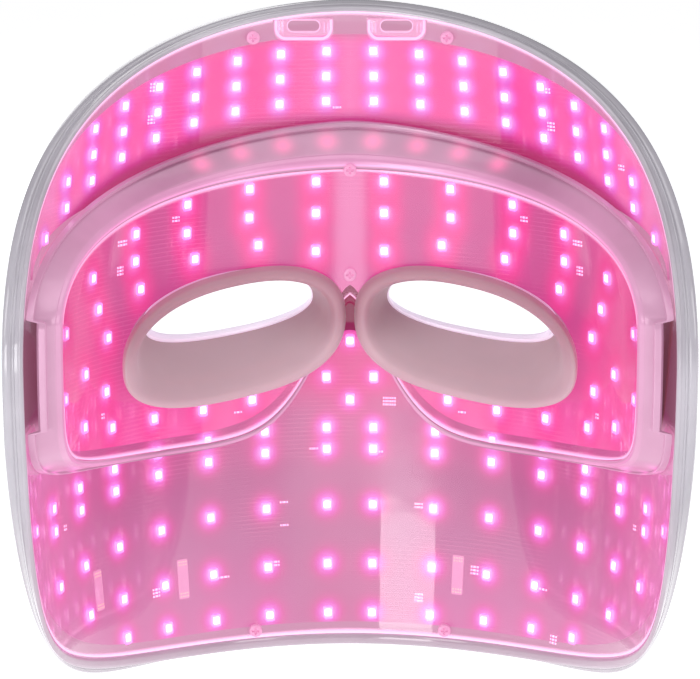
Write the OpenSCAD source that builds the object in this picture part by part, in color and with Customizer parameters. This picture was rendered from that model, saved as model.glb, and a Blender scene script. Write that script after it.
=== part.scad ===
// Wearable LED face mask: a rigid shell that curves round the face, a clear liner over
// light boards for brow and jaw, and a raised goggle module with two soft eyecups.
// Frame: +X wearer's right, +Y out through the front of the mask, +Z up.
// Origin: level with the eyes, on the middle plane, in the plane of the side edges.

/* [Mask body] */
// Width across the two side edges
mask_w = 190; // [184:1:196]
// Depth from the side edges to the front of the shell
mask_d = 102; // [100:1:106]
// Height of the brow edge above the eyes
brow_h = 93; // [91:1:96]
// Drop of the chin edge below the eyes
chin_h = 104; // [102:1:106]
// Wall thickness of the outer shell
shell_t = 2.2; // [1.8:0.1:2.4]
// How far the walls lean in at the brow, as a share of their radius
brow_lean = 0.10; // [0.08:0.01:0.12]
// How far the walls lean in at the chin, as a share of their radius
chin_lean = 0.08; // [0.06:0.01:0.09]

/* [Goggle module] */
// Height of the goggle frame's top edge above the eyes
goggle_h = 57.5; // [57:0.5:60]
// Drop of the goggle frame's bottom edge below the eyes
goggle_drop = 40; // [39:1:42]
// Radius of the window's face, on the wearer's side
window_r = 79.6; // [79:0.1:80]
// Width of the arch over the nose bridge
nose_w = 22; // [20:1:24]

/* [Eyes] */
// Distance from the middle to the centre of each eye hole
eye_x = 35.7; // [35:0.1:36.5]
// Width of each eye hole
eye_w = 48; // [46:0.5:49]
// Height of each eye hole
eye_h = 16; // [15:0.5:17]

/* [Lights] */
// Length of one light chip
led_l = 3.5; // [3:0.1:3.6]
// Width of one light chip
led_w = 2.8; // [2.4:0.1:3]
// Columns of brow lights on each side
brow_columns = 9; // [7:1:9]
// Columns of jaw lights on each side
jaw_columns = 8; // [6:1:8]

/* [Controls] */
// Diameter of the power button
button_d = 10; // [9:0.5:11]
// How far the power button travels
button_travel = 0.6; // [0.4:0.1:0.7]
// Angle round the mask of the button and the charging port
control_a = 50; // [48:1:52]

/* [Crown slots] */
// Distance of each strap slot from the middle
slot_x = 13.5; // [13:0.5:15]
// Length of each strap slot
slot_l = 9.2; // [8:0.1:10]
// Height of each strap slot
slot_h = 3.2; // [3:0.1:3.6]

/* [Hidden] */
$fn = 48;

shell_r = mask_w / 2;
shell_bulge = mask_d - shell_r;
shell_in = shell_r - shell_t;
cover_r = 89;
cover_t = 1.2;
cover_out = cover_r + cover_t;
liner_bulge = 1;
board_r = 91.3;
board_t = 0.6;
board_bulge = 2;
led_t = 0.8;
led_gap = 0.2;
side_flat = 20;
rim_t = 3;
brow_lip = 2.8;
jaw_lip = 5.2;
side_lip = 1.2;
lip_gap = 0.2;
seam = 0.15;
window_t = 1.4;
eye_board_r = 84;
frame_r = 88.6;
frame_t = 1.8;
slot_z = 86;
fine_gap = 0.3;
cup_lip_r = 74;
cup_end_r = 88;
cup_wall = 1.6;
screw_d = 2;
pilot_d = 1.7;
screw_head_d = 3.8;
screw_head_t = 1.2;

// ---- Curved walls -------------------------------------------------------------

function mix(a, b, t) = a + (b - a) * t;
function lean(z) = z > 0 ? 1 - brow_lean * pow(z / brow_h, 2)
    : 1 - chin_lean * pow(z / chin_h, 2);
function lean_rate(z) = z > 0 ? -2 * brow_lean * z / pow(brow_h, 2)
    : -2 * chin_lean * z / pow(chin_h, 2);

// Point at angle a and height z on a wall of side radius r and front radius r + bulge
function wall(r, bulge, a, z) =
    [r * lean(z) * sin(a), (r + bulge) * lean(z) * cos(a), z];

// Heading of a wall's outward normal at angle a, in degrees from +Y towards +X
function heading(r, bulge, a) = atan2((r + bulge) * sin(a), r * cos(a));

// Y of a wall at a given x and z
function wall_y(r, bulge, x, z) =
    (r + bulge) * lean(z) * sqrt(max(0, 1 - pow(x / (r * lean(z)), 2)));

// Quarter of a superellipse: its height at a, from h at the middle to 0 at a_end
function quarter(a, a_end, h, n) = h * pow(max(0, 1 - pow(min(1, abs(a) / a_end), n)), 1 / n);

// Angles across a wall, closer together towards its ends
function spread(a_end, n) =
    [for (i = [-n:n]) sign(i) * a_end * (1 - pow(1 - abs(i) / n, 1.5))];

brow_n = 1.9;
jaw_n = 7;
jaw_round = 0.8;
liner_n = 3.7;
edge_steps = 24;
// Columns inside the mask's edge, brought in by top, low and side mm. The chin line is the
// shell's own where liner is false, and the rounder one of the liner where it is true.
function edge_columns(top, low, side, liner) =
    let (a_end = 90 - side / 1.6, h = chin_h - side_flat - low) [for (a = spread(a_end, edge_steps))
        [a, -side_flat - (liner ? quarter(a, a_end, h, liner_n)
                : h * pow(max(0, 1 - pow(abs(a) / a_end, jaw_n)), jaw_round)),
            quarter(a, a_end, brow_h - top, brow_n)]];

// The same edge as a loop on a wall of radius r
function edge_loop(r, bulge, top, low, side, liner) =
    let (columns = edge_columns(top, low, side, liner), last = len(columns) - 1)
    concat([for (c = columns) wall(r, bulge, c[0], c[1])],
        [for (i = [last:-1:0]) wall(r, bulge, columns[i][0], columns[i][2])]);

// Slab between two walls. Each column is [angle, low z, high z].
module slab(outer, inner, r_out, r_in, bulge_out, bulge_in, rows) {
    n = len(outer);
    m = rows + 1;
    function id(s, i, j) = (s * n + i) * m + j;
    points = [for (s = [0, 1]) for (i = [0:n - 1]) for (j = [0:rows])
        let (c = s == 0 ? outer[i] : inner[i])
        wall(s == 0 ? r_out : r_in, s == 0 ? bulge_out : bulge_in, c[0], mix(c[1], c[2], j / rows))];
    cells = [for (i = [0:n - 2]) for (j = [0:rows - 1]) [i, j]];
    faces = concat(
        [for (c = cells) [id(0, c[0], c[1]), id(0, c[0] + 1, c[1]), id(0, c[0], c[1] + 1)]],
        [for (c = cells) [id(0, c[0] + 1, c[1]), id(0, c[0] + 1, c[1] + 1), id(0, c[0], c[1] + 1)]],
        [for (c = cells) [id(1, c[0], c[1]), id(1, c[0], c[1] + 1), id(1, c[0] + 1, c[1])]],
        [for (c = cells) [id(1, c[0] + 1, c[1]), id(1, c[0], c[1] + 1), id(1, c[0] + 1, c[1] + 1)]],
        [for (i = [0:n - 2]) [id(0, i, 0), id(1, i, 0), id(0, i + 1, 0)]],
        [for (i = [0:n - 2]) [id(1, i, 0), id(1, i + 1, 0), id(0, i + 1, 0)]],
        [for (i = [0:n - 2]) [id(0, i, rows), id(0, i + 1, rows), id(1, i, rows)]],
        [for (i = [0:n - 2]) [id(1, i, rows), id(0, i + 1, rows), id(1, i + 1, rows)]],
        [for (j = [0:rows - 1]) [id(0, 0, j), id(0, 0, j + 1), id(1, 0, j)]],
        [for (j = [0:rows - 1]) [id(1, 0, j), id(0, 0, j + 1), id(1, 0, j + 1)]],
        [for (j = [0:rows - 1]) [id(0, n - 1, j), id(1, n - 1, j), id(0, n - 1, j + 1)]],
        [for (j = [0:rows - 1]) [id(1, n - 1, j), id(1, n - 1, j + 1), id(0, n - 1, j + 1)]]);
    polyhedron(points, faces);
}

// Closed tube whose section runs through a list of loops of equal length
module loft(loops) {
    k = len(loops);
    n = len(loops[0]);
    function id(s, i) = (s % k) * n + i % n;
    faces = concat(
        [for (s = [0:k - 1]) for (i = [0:n - 1]) [id(s, i), id(s + 1, i), id(s, i + 1)]],
        [for (s = [0:k - 1]) for (i = [0:n - 1]) [id(s + 1, i), id(s + 1, i + 1), id(s, i + 1)]]);
    polyhedron([for (l = loops) for (p = l) p], faces);
}

// Places children at a spot on a wall, with their +Z along its outward normal
module on_wall(r, bulge, a, z) {
    translate(wall(r, bulge, a, z)) rotate([0, 0, -heading(r, bulge, a)]) rotate([-90, 0, 0])
        children();
}

// As on_wall, and leaning with the wall, so that a flat piece lies along it
module flat_on_wall(r, bulge, a, z) {
    h = heading(r, bulge, a);
    slope = lean_rate(z) * (r * sin(a) * sin(h) + (r + bulge) * cos(a) * cos(h));
    on_wall(r, bulge, a, z) rotate([-atan(slope), 0, 0]) children();
}

// Stands a flat shape drawn in X and Z up, and runs it along +Y from y0 to y1
module along_y(y0, y1) {
    translate([0, y1, 0]) rotate([90, 0, 0]) linear_extrude(y1 - y0) children();
}

module pin_y(x, z, d, y0, y1) {
    translate([x, y0, z]) rotate([-90, 0, 0]) cylinder(h = y1 - y0, d = d);
}

module mirrored() {
    children();
    mirror([1, 0, 0]) children();
}

module rounded_rect(w, h, r) {
    square([w - 2 * r, h], center = true);
    square([w, h - 2 * r], center = true);
    for (sx = [-1, 1]) for (sy = [-1, 1])
        translate([sx * (w / 2 - r), sy * (h / 2 - r)]) circle(r, $fn = 32);
}

// ---- Eye outlines -------------------------------------------------------------

eye_points = 64;
// Egg outline in [x, z], grown by g, from [centre x, centre z, half width, tilt, rise, drop, power]
function egg(e, g) = [for (i = [0:eye_points - 1])
    let (t = 360 * i / eye_points, c = sign(cos(t)) * pow(abs(cos(t)), 2 / e[6]),
        s = sign(sin(t)) * pow(abs(sin(t)), 2 / e[6]))
    [e[0] + (e[2] + g) * c, e[1] + e[3] * c + ((s > 0 ? e[4] : e[5]) + g) * s]];

lip_egg = [33.1, -3.2, 31.8, -3.8, 18.4, 19.6, 2.4];
hole_egg = [eye_x, 1, eye_w / 2, -2.6, eye_h * 0.54, eye_h * 0.46, 2.2];

// Eyecup outline at share t of the way from its lip to its far end, grown by g
function cup_outline(t, g) = egg(mix(lip_egg, hole_egg, t), g);

// The same outline as a loop on a wall of radius r
function cup_loop(t, g, r, bulge) = [for (p = cup_outline(t, g))
    [p[0], wall_y(r, bulge, p[0], p[1]), p[1]]];

module hole_shape(g) {
    polygon(egg(hole_egg, g));
}

// Straight passage for a cup, wide enough for its lip end to come out towards the wearer
module seat_shape(g) {
    polygon(cup_outline(0.42, g));
}

// ---- Goggle outline -----------------------------------------------------------

goggle_end = 88;
window_top = 13.5;
window_low = 4;
window_side = 6;
nose_top = 2.5;
nose_fine = 12;

// Angles across the goggle, in even steps over the nose and closer towards the sides
function goggle_angles(a_end) = let (half = concat([for (i = [1:8]) nose_fine * i / 8],
    [for (i = [1:14]) nose_fine + (a_end - nose_fine) * (1 - pow(1 - i / 14, 1.6))]))
    concat([for (i = [len(half) - 1:-1:0]) -half[i]], [0], half);

goggle_n = 1.5;
goggle_top_n = 1.75;
goggle_low_n = 3.4;
nose_spread = 0.96;
// Goggle outline, brought in by top mm, low mm and side degrees, with its nose arch
function goggle_columns(top, low, side) = [for (a = goggle_angles(goggle_end - side))
    let (a_end = goggle_end - side, arch_a = nose_spread * (nose_w / 2 + low / 10),
        top_n = mix(goggle_n, goggle_top_n, min(1, top / window_top)))
    [a, mix(-12 - quarter(a, a_end, goggle_drop - 12 - low, goggle_low_n), nose_top + low,
            exp(-pow(abs(a) / arch_a, 1.5))),
        12 + quarter(a, a_end, goggle_h - 12 - top, top_n)]];

// Opening of the liner behind the goggle module, with a tongue up the nose
tongue_z = -8;
function opening_columns() = [for (a = goggle_angles(81))
    [a, mix(-10 - quarter(a, 81, goggle_drop - 15, 3), tongue_z, exp(-pow(a / 12, 2))),
        12 + quarter(a, 81, goggle_h - 15.5, 1.65)]];
module cover_opening() {
    slab(opening_columns(), opening_columns(), 94, 86, board_bulge, liner_bulge, 4);
}

strap_top = 14;
strap_low = -17;
module strap_notch(x0) {
    mirrored() translate([x0, -5, strap_low]) cube([10, 22, strap_top - strap_low]);
}

// ---- Lights -------------------------------------------------------------------

function brow_a(i) = let (u = i + 0.5) 9.4 * u - 0.12 * u * u;
function brow_drop(a) = 18.3 * pow(a / 57, 2.3);
// Each brow row's height and number of columns
brow_rows = [[78, 7], [70.5, 8], [63, 9], [52, 4]];

function jaw_a(i) = 4.5 + 12.3 * i - 0.22 * i * i;
// Each jaw row's height, number of columns and droop at 80 degrees
jaw_rows = [[-36.4, 8, 12], [-43, 7, 12], [-60, 7, 11], [-78, 6, 5], [-93, 5, -3.8]];
nose_leds = [[0, -10], [0, -28]];
nose_side_led = [4.5, -21];

// Goggle lights of one side, as [angle, height]: two arcs over the eye, a ring round it
goggle_leds = [[7, 40], [21, 38.5], [35, 35.5], [48, 29], [61, 19], [72, 6],
    [7, 30.5], [21, 30], [35, 27], [48, 21], [59, 9.5], [64, -8],
    [7, 19], [19, 21.5], [33, 19], [46.5, 12.5], [56, 0.5], [57, -15],
    [73, -12.5], [65, -23], [55.5, -26], [43.5, -26.5], [31.5, -26.5], [20.5, -25]];

module led(r, bulge, a, z) {
    flat_on_wall(r - led_gap, bulge, a, z) translate([0, 0, -led_t / 2])
        cube([led_w, led_l, led_t], center = true);
}

// ---- Shell and liner ----------------------------------------------------------

cover_screw_a = 20;
cover_screw_z = [83, -96];
goggle_screw_z = [12.5, 44];
function cover_screw_at(z) = [wall(cover_r, liner_bulge, cover_screw_a, z)[0], z];

module screw_boss(x, z, y0) {
    pin_y(x, z, 5.4, y0, wall_y(shell_r, shell_bulge, x, z) - shell_t / 2);
}

button_z = 31;
port_z = 21;
light_z = 39.5;
module control_axis(z) {
    on_wall(shell_in, shell_bulge, control_a, z) children();
}

module port_shape(g) {
    rounded_rect(9 + 2 * g, 3.2 + 2 * g, 1.55 + g);
}

module front_shell() {
    inset = rim_t + seam;
    columns = edge_columns(inset, inset, inset, false);
    color("whitesmoke") difference() {
        union() {
            slab(columns, columns, shell_r, shell_in, shell_bulge, shell_bulge, 12);
            mirrored() for (z = cover_screw_z) let (x = cover_screw_at(z)[0])
                screw_boss(x, z, wall_y(cover_out, liner_bulge, x, z) + 0.4);
            for (z = goggle_screw_z)
                screw_boss(0, z, wall_y(window_r + window_t, liner_bulge, 0, z) + 0.2);
        }
        mirrored() along_y(40, 120) hole_shape(1.6);
        mirrored() for (z = cover_screw_z) let (x = cover_screw_at(z)[0])
            pin_y(x, z, pilot_d, 60, wall_y(shell_in, shell_bulge, x, z) + 0.6);
        for (z = goggle_screw_z)
            pin_y(0, z, pilot_d, 70, wall_y(shell_in, shell_bulge, 0, z) - 1);
        control_axis(button_z) translate([0, 0, -5]) cylinder(h = 12, d = button_d + 3);
        control_axis(port_z) translate([0, 0, -5]) linear_extrude(12) port_shape(fine_gap);
        control_axis(light_z) translate([0, 0, -5]) cylinder(h = 12, d = 2.2);
    }
}

module rim_frame() {
    color("gainsboro") loft([
        edge_loop(shell_r, shell_bulge, rim_t, rim_t, rim_t, false),
        edge_loop(shell_r, shell_bulge, 0.7, 0.7, 0.7, false),
        edge_loop(shell_r - 0.7, shell_bulge - 0.5, 0, 0, 0, false),
        edge_loop(cover_r + 0.8, liner_bulge, 1.2, 1.6, 0.2, true),
        edge_loop(cover_r, liner_bulge, 1.9, 2.4, 0.5, true),
        edge_loop(cover_r, liner_bulge, brow_lip, jaw_lip, side_lip, true),
        edge_loop(cover_out, liner_bulge, brow_lip, jaw_lip, side_lip, true),
        edge_loop(shell_in, shell_bulge, rim_t, rim_t, rim_t, false)]);
}

module slot_plate_shape(g) {
    translate([0, 4]) square([17.4 + 2 * g, 8 + 2 * g], center = true);
    translate([0, -0.4]) rounded_rect(17.4 + 2 * g, 8 + 2 * g, 3);
}

// Liner over the light boards, from height z0 to z1
module liner_cover(z0, z1) {
    columns = edge_columns(brow_lip + lip_gap, jaw_lip + lip_gap, side_lip + lip_gap, true);
    color("pink") difference() {
        slab(columns, columns, cover_out, cover_r, liner_bulge, liner_bulge, 10);
        cover_opening();
        strap_notch(83);
        translate([-100, -10, z0 - 200]) cube([200, 120, 200]);
        translate([-100, -10, z1]) cube([200, 120, 200]);
        mirrored() translate([slot_x, 0, slot_z]) along_y(60, 100) slot_plate_shape(0.2);
        mirrored() for (z = cover_screw_z)
            pin_y(cover_screw_at(z)[0], z, screw_d + 0.4, 60, 100);
    }
}

module brow_cover() { liner_cover(0, brow_h); }
module jaw_cover() { liner_cover(-chin_h, 0); }

module slot_plate() {
    y0 = wall_y(cover_r, liner_bulge, slot_x, slot_z) - 0.6;
    color("mistyrose") difference() {
        translate([slot_x, 0, slot_z]) along_y(y0, y0 + 2.4) intersection() {
            slot_plate_shape(0);
            translate([0, -10]) square([40, 24], center = true);
        }
        for (s = [-1, 1])
            pin_y(slot_x + s * (slot_l - slot_h) / 2, slot_z, slot_h, y0 - 1, y0 + 4);
        translate([slot_x - (slot_l - slot_h) / 2, y0 - 1, slot_z - slot_h / 2])
            cube([slot_l - slot_h, 5, slot_h]);
    }
}
module right_slot_plate() { slot_plate(); }
module left_slot_plate() { mirror([1, 0, 0]) slot_plate(); }

// ---- Goggle module ------------------------------------------------------------

module eye_frame() {
    t = frame_t;
    color("thistle") difference() {
        slab(goggle_columns(0, 0, 0),
            goggle_columns(window_top - 1.8, window_low - 1.6, window_side - 1.2),
            frame_r, window_r + 0.1, liner_bulge, liner_bulge, 8);
        slab(goggle_columns(t, t, 1.3),
            goggle_columns(window_top - 0.6, window_low - 0.4, window_side - 0.4),
            frame_r + 1, window_r + t, liner_bulge, liner_bulge, 8);
        slab(goggle_columns(window_top - 0.3, window_low - 0.2, window_side - 0.2),
            goggle_columns(window_top - 0.3, window_low - 0.2, window_side - 0.2),
            window_r + t + 1, window_r - 2, liner_bulge, liner_bulge, 4);
        mirrored() along_y(20, 100) seat_shape(0.5);
        for (z = goggle_screw_z) pin_y(0, z, screw_head_d + 0.6, 60, 100);
        strap_notch(84.6);
    }
}

module eye_window() {
    columns = goggle_columns(window_top, window_low, window_side);
    color("hotpink") difference() {
        slab(columns, columns, window_r + window_t, window_r, liner_bulge, liner_bulge, 8);
        mirrored() along_y(20, 100) seat_shape(0.5);
        for (z = goggle_screw_z) pin_y(0, z, screw_d + 0.4, 60, 100);
    }
}

module eyecup() {
    color("rosybrown") loft([
        cup_loop(0, 0, window_r - 1, liner_bulge),
        cup_loop(0.42, 0, window_r - 0.4, liner_bulge),
        cup_loop(0.42, 0, window_r + window_t + 0.6, liner_bulge),
        cup_loop(0.95, 0.8, cup_end_r, shell_bulge),
        cup_loop(0.95, 0, cup_end_r, shell_bulge),
        cup_loop(0.42, -cup_wall, window_r, liner_bulge),
        cup_loop(0.06, -cup_wall - 1.6, cup_lip_r + 2, liner_bulge),
        cup_loop(0, -2.6, cup_lip_r, liner_bulge),
        cup_loop(0, -1.2, cup_lip_r, liner_bulge)]);
}
module right_eyecup() { eyecup(); }
module left_eyecup() { mirror([1, 0, 0]) eyecup(); }

function hole_loop(g, r) = [for (p = egg(hole_egg, g))
    [p[0], wall_y(r, shell_bulge, p[0], p[1]), p[1]]];

module eye_ring() {
    color("lavender") loft([
        hole_loop(1.4, cup_end_r + 1),
        hole_loop(1.4, shell_r + 0.1),
        hole_loop(2.8, shell_r + 0.1),
        hole_loop(2.4, shell_r + 0.7),
        hole_loop(0.4, shell_r + 0.7),
        hole_loop(0, shell_r - 0.5),
        hole_loop(0, cup_end_r + 1)]);
}
module right_eye_ring() { eye_ring(); }
module left_eye_ring() { mirror([1, 0, 0]) eye_ring(); }

// ---- Light boards -------------------------------------------------------------

module board_slab(columns) {
    slab(columns, columns, board_r + board_t, board_r, board_bulge, board_bulge, 6);
}

brow_board_low = 44;
module brow_board() {
    a_end = 76;
    color("white") difference() {
        board_slab([for (a = spread(a_end, 18))
            [a, 22 + quarter(a, a_end, brow_board_low - 22, 2.2),
                24 + quarter(a, a_end, brow_h - 34, 1.9)]]);
        mirrored() pin_y(cover_screw_at(cover_screw_z[0])[0], cover_screw_z[0], 6, 60, 100);
        pin_y(0, goggle_screw_z[1], 6.4, 60, 100);
    }
}

module jaw_board() {
    a_end = 84;
    color("white") difference() {
        board_slab([for (a = spread(a_end, 24))
            [a, -42 - (chin_h - 50) * pow(max(0, 1 - pow(abs(a) / a_end, 5)), 0.6),
                -42 + quarter(a, a_end, 13, 2.6) + 22 * exp(-pow(a / 10, 2))]]);
        mirrored() pin_y(cover_screw_at(cover_screw_z[1])[0], cover_screw_z[1], 6, 60, 100);
    }
}

module eye_board() {
    columns = goggle_columns(window_top + 1, window_low + 2, window_side + 2);
    color("white") difference() {
        slab(columns, columns, eye_board_r + board_t, eye_board_r, liner_bulge, liner_bulge, 6);
        mirrored() along_y(20, 100) seat_shape(1.4);
        for (z = goggle_screw_z) pin_y(0, z, 6.4, 60, 100);
    }
}

module brow_leds() {
    color("magenta") mirrored() for (row = brow_rows) for (i = [0:min(row[1], brow_columns) - 1])
        led(board_r, board_bulge, brow_a(i), row[0] - brow_drop(brow_a(i)));
}

module jaw_leds() {
    color("magenta") {
        mirrored() {
            for (row = jaw_rows) for (i = [0:min(row[1], jaw_columns) - 1])
                led(board_r, board_bulge, jaw_a(i), row[0] - row[2] * pow(jaw_a(i) / 80, 2));
            led(board_r, board_bulge, nose_side_led[0], nose_side_led[1]);
        }
        for (p = nose_leds) led(board_r, board_bulge, p[0], p[1]);
    }
}

module eye_leds() {
    color("magenta") mirrored() for (p = goggle_leds)
        led(eye_board_r, liner_bulge, p[0], p[1]);
}

module jaw_jumpers() {
    color("orchid") for (p = [[-35, -78.5], [-57, -75], [22, -80]])
        flat_on_wall(board_r, board_bulge, p[0], p[1])
            translate([0, 0, -0.4]) cube([3.6, 12, 0.3], center = true);
}

// ---- Power and control --------------------------------------------------------

battery_w = 58;
battery_h = 22;
battery_t = 6;
battery_z = 28.3;
module battery() {
    y0 = wall_y(eye_board_r + board_t, liner_bulge, 0, battery_z) + 0.6;
    color("steelblue") translate([0, 0, battery_z]) {
        along_y(y0, y0 + battery_t) rounded_rect(battery_w, battery_h, 2.5);
        translate([battery_w / 2 - 0.2, y0 + battery_t / 2 - 1, -5]) cube([2.2, 2, 10]);
    }
}

board_w = 28;
board_h = 22;
board_drop = 5;
control_t = 1;
board_seat = 6.6;
switch_h = 1.6;
plunger_h = 0.9;
// Frame of the control board: +Z out through the shell, +Y down, origin behind the button
module at_board() {
    control_axis(button_z) translate([0, 0, -board_seat]) children();
}
board_screw_rows = [-3.4, 11];
module at_board_corners() {
    for (x = [3 - board_w / 2, board_w / 2 - 3]) for (y = board_screw_rows)
        translate([x, y, 0]) children();
}

module control_board() {
    color("seagreen") at_board() difference() {
        translate([0, board_drop, 0]) linear_extrude(control_t) rounded_rect(board_w, board_h, 2);
        at_board_corners() translate([0, 0, -1]) cylinder(h = 4, d = 2.2);
    }
}

module main_chip() {
    color("dimgray") at_board() translate([-9.5, 0, control_t + 0.02]) cube([5, 5, 1]);
}

module tact_switch() {
    color("gray") at_board() {
        translate([-3, -3, control_t + 0.02]) cube([6, 6, switch_h]);
        translate([0, 0, control_t + switch_h]) cylinder(h = plunger_h, d = 3);
    }
}

module usb_c_socket() {
    color("silver") at_board() translate([0, button_z - port_z, control_t + 0.02]) difference() {
        linear_extrude(board_seat - control_t + shell_t - 0.6) port_shape(0);
        translate([0, 0, 1.2]) linear_extrude(10) port_shape(-0.3);
    }
}

module board_sockets() {
    color("ivory") at_board() {
        translate([8, -1, control_t + 0.02]) cube([3.4, 10, 1.6]);
        translate([-13.5, 6.4, control_t + 0.02]) cube([6, 3, 1.6]);
    }
}

// Flat ribbon along a list of [r, a, z] points on the walls round the boards
module ribbon(path, w) {
    for (i = [0:len(path) - 2]) hull() for (q = [path[i], path[i + 1]])
        on_wall(q[0], board_bulge, q[1], q[2]) cube([w, w, 0.3], center = true);
}

module flex_tails() {
    color("orange") {
        ribbon([[90.4, 44.5, 35], [93.2, 44.5, 38.8], [92.7, 44.5, 46]], 3);
        ribbon([[90.1, 57, 24], [90.6, 68, 8], [92.5, 70, -16], [92.9, 66, -38]], 3);
    }
}

// Round lead swept along a list of points
module lead(path, d) {
    for (i = [0:len(path) - 2]) hull() for (q = [path[i], path[i + 1]])
        translate(q) sphere(d / 2, $fn = 8);
}

module battery_lead() {
    y = wall_y(eye_board_r + board_t, liner_bulge, 0, battery_z) + 3.6;
    color("firebrick")
        lead([[32.2, y, 28], [37, y - 1.5, 29], [42, y - 5.5, 31], [47, y - 10, 33]], 1.4);
}

press_gap = 0.1;
cap_low = -0.5;
module power_button() {
    stem_low = control_t + switch_h + plunger_h + button_travel + press_gap - board_seat;
    color("white") control_axis(button_z) {
        translate([0, 0, cap_low]) cylinder(h = shell_t + 1 - cap_low, d = button_d);
        translate([0, 0, cap_low - 0.8]) cylinder(h = 0.8, d = button_d + 2.2);
        translate([0, 0, stem_low]) cylinder(h = cap_low - stem_low, d = 3.4);
    }
}

module button_ring() {
    color("silver") control_axis(button_z) translate([0, 0, -0.2]) difference() {
        cylinder(h = shell_t + 0.7, d = button_d + 2.8);
        translate([0, 0, -1]) cylinder(h = shell_t + 3, d = button_d + 0.8);
    }
}

module status_light() {
    color("lightcyan") control_axis(light_z) translate([0, 0, -2.5]) cylinder(h = shell_t + 2.5, d = 2);
}

// ---- Fasteners ----------------------------------------------------------------

module screw(x, z, y_head, l) {
    pin_y(x, z, screw_head_d, y_head, y_head + screw_head_t);
    pin_y(x, z, screw_d - 0.4, y_head + screw_head_t - 0.1, y_head + screw_head_t + l);
}

module cover_screws() {
    color("lightgray") mirrored() for (z = cover_screw_z) {
        x = cover_screw_at(z)[0];
        screw(x, z, wall_y(cover_r, liner_bulge, x, z) - screw_head_t - 0.9, 5);
    }
}

module goggle_screws() {
    color("lightgray") for (z = goggle_screw_z)
        screw(0, z, wall_y(window_r, liner_bulge, 0, z) - screw_head_t - 0.05, 8);
}

module board_screws() {
    color("lightgray") at_board() at_board_corners() {
        translate([0, 0, -1.1]) cylinder(h = 1.05, d = 3.4);
        translate([0, 0, -0.1]) cylinder(h = 4.4, d = 1.6);
    }
}

front_shell();
rim_frame();
brow_cover();
jaw_cover();
left_slot_plate();
right_slot_plate();
eye_frame();
eye_window();
left_eyecup();
right_eyecup();
left_eye_ring();
right_eye_ring();
brow_board();
jaw_board();
eye_board();
brow_leds();
jaw_leds();
eye_leds();
jaw_jumpers();
battery();
battery_lead();
control_board();
main_chip();
tact_switch();
usb_c_socket();
board_sockets();
flex_tails();
power_button();
button_ring();
status_light();
cover_screws();
goggle_screws();
board_screws();
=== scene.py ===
"""Looks of the wearable LED face mask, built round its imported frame.

Metres and degrees. +X is the wearer's right, +Y goes out through the front of the mask, +Z is up.
"""
import math

import bmesh
import bpy
import numpy as np
from mathutils import Matrix, Vector


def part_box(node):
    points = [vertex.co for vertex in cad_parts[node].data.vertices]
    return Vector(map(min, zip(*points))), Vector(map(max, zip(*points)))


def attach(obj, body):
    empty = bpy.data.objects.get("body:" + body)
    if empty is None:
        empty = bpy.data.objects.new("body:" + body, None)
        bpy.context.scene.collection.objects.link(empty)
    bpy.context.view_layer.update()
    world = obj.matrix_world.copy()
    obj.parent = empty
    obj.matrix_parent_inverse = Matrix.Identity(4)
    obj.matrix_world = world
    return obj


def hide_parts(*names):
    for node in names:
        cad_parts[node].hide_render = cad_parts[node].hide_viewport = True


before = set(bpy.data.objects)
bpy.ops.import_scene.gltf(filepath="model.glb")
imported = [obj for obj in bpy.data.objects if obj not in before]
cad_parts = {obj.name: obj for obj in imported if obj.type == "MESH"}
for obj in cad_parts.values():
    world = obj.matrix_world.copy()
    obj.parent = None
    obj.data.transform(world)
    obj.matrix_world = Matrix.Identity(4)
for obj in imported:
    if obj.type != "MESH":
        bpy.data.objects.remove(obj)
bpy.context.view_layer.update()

# Driving dimensions, from the frame

rim_low, rim_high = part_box("rim_frame")
SHELL_R = rim_high.x
BROW_H = rim_high.z
CHIN_H = -rim_low.z
SHELL_BULGE = 0.007
SHELL_IN = SHELL_R - 0.0022
LINER_R = SHELL_R - 0.006
LINER_T = 0.0012
LINER_BULGE = 0.001
BOARD_R = SHELL_R - 0.0037
BOARD_T = 0.0006
BOARD_BULGE = 0.002
CHIP_W = 0.0028
CHIP_L = 0.0035
CHIP_T = 0.0008
WINDOW_R = 0.0796
WINDOW_T = 0.0014
EYE_BOARD_R = 0.084
FRAME_R = 0.0886
SIDE_FLAT = 0.020
RIM_T = 0.003
STRAP_LOW = -0.017
STRAP_TOP = 0.014
BROW_POWER = 1.9
JAW_POWER = 7
JAW_ROUND = 0.8
LINER_POWER = 3.7
LINER_SIDE = 0.0014
SEAM = 0.00015
SIDE_DEGREES = 625  # degrees of angle for each metre that the side edge is brought in
DEGREE = math.pi / 180


# Curved walls

def mix(a, b, t):
    return a + (b - a) * t


def smooth(x):
    """Smooth step from 0 to 1 as x goes from 0 to 1."""
    x = np.clip(x, 0, 1)
    return x * x * (3 - 2 * x)


def lean(z):
    """Share of its radius that a wall has at height z."""
    return np.where(z > 0, 1 - 0.10 * (z / BROW_H) ** 2, 1 - 0.08 * (z / CHIN_H) ** 2)


def wall(r, bulge, a, z):
    """Points at angles a and heights z on a wall of side radius r."""
    r, a, z = np.broadcast_arrays(r, np.multiply(a, DEGREE), z)
    k = lean(z)
    return np.stack([r * k * np.sin(a), (r + bulge) * k * np.cos(a), z], -1)


def wall_y(r, bulge, x, z):
    """How far out a wall is at x and z."""
    k = lean(z)
    return (r + bulge) * k * np.sqrt(np.maximum(0, 1 - (x / (r * k)) ** 2))


def angle_of(points):
    return np.degrees(np.arctan2(points[:, 0], points[:, 1]))


def quarter(a, a_end, h, power):
    """Quarter of a superellipse: h at the middle and 0 at a_end."""
    share = np.minimum(1, np.abs(a) / a_end)
    return h * np.maximum(0, 1 - share ** power) ** (1 / power)


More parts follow.
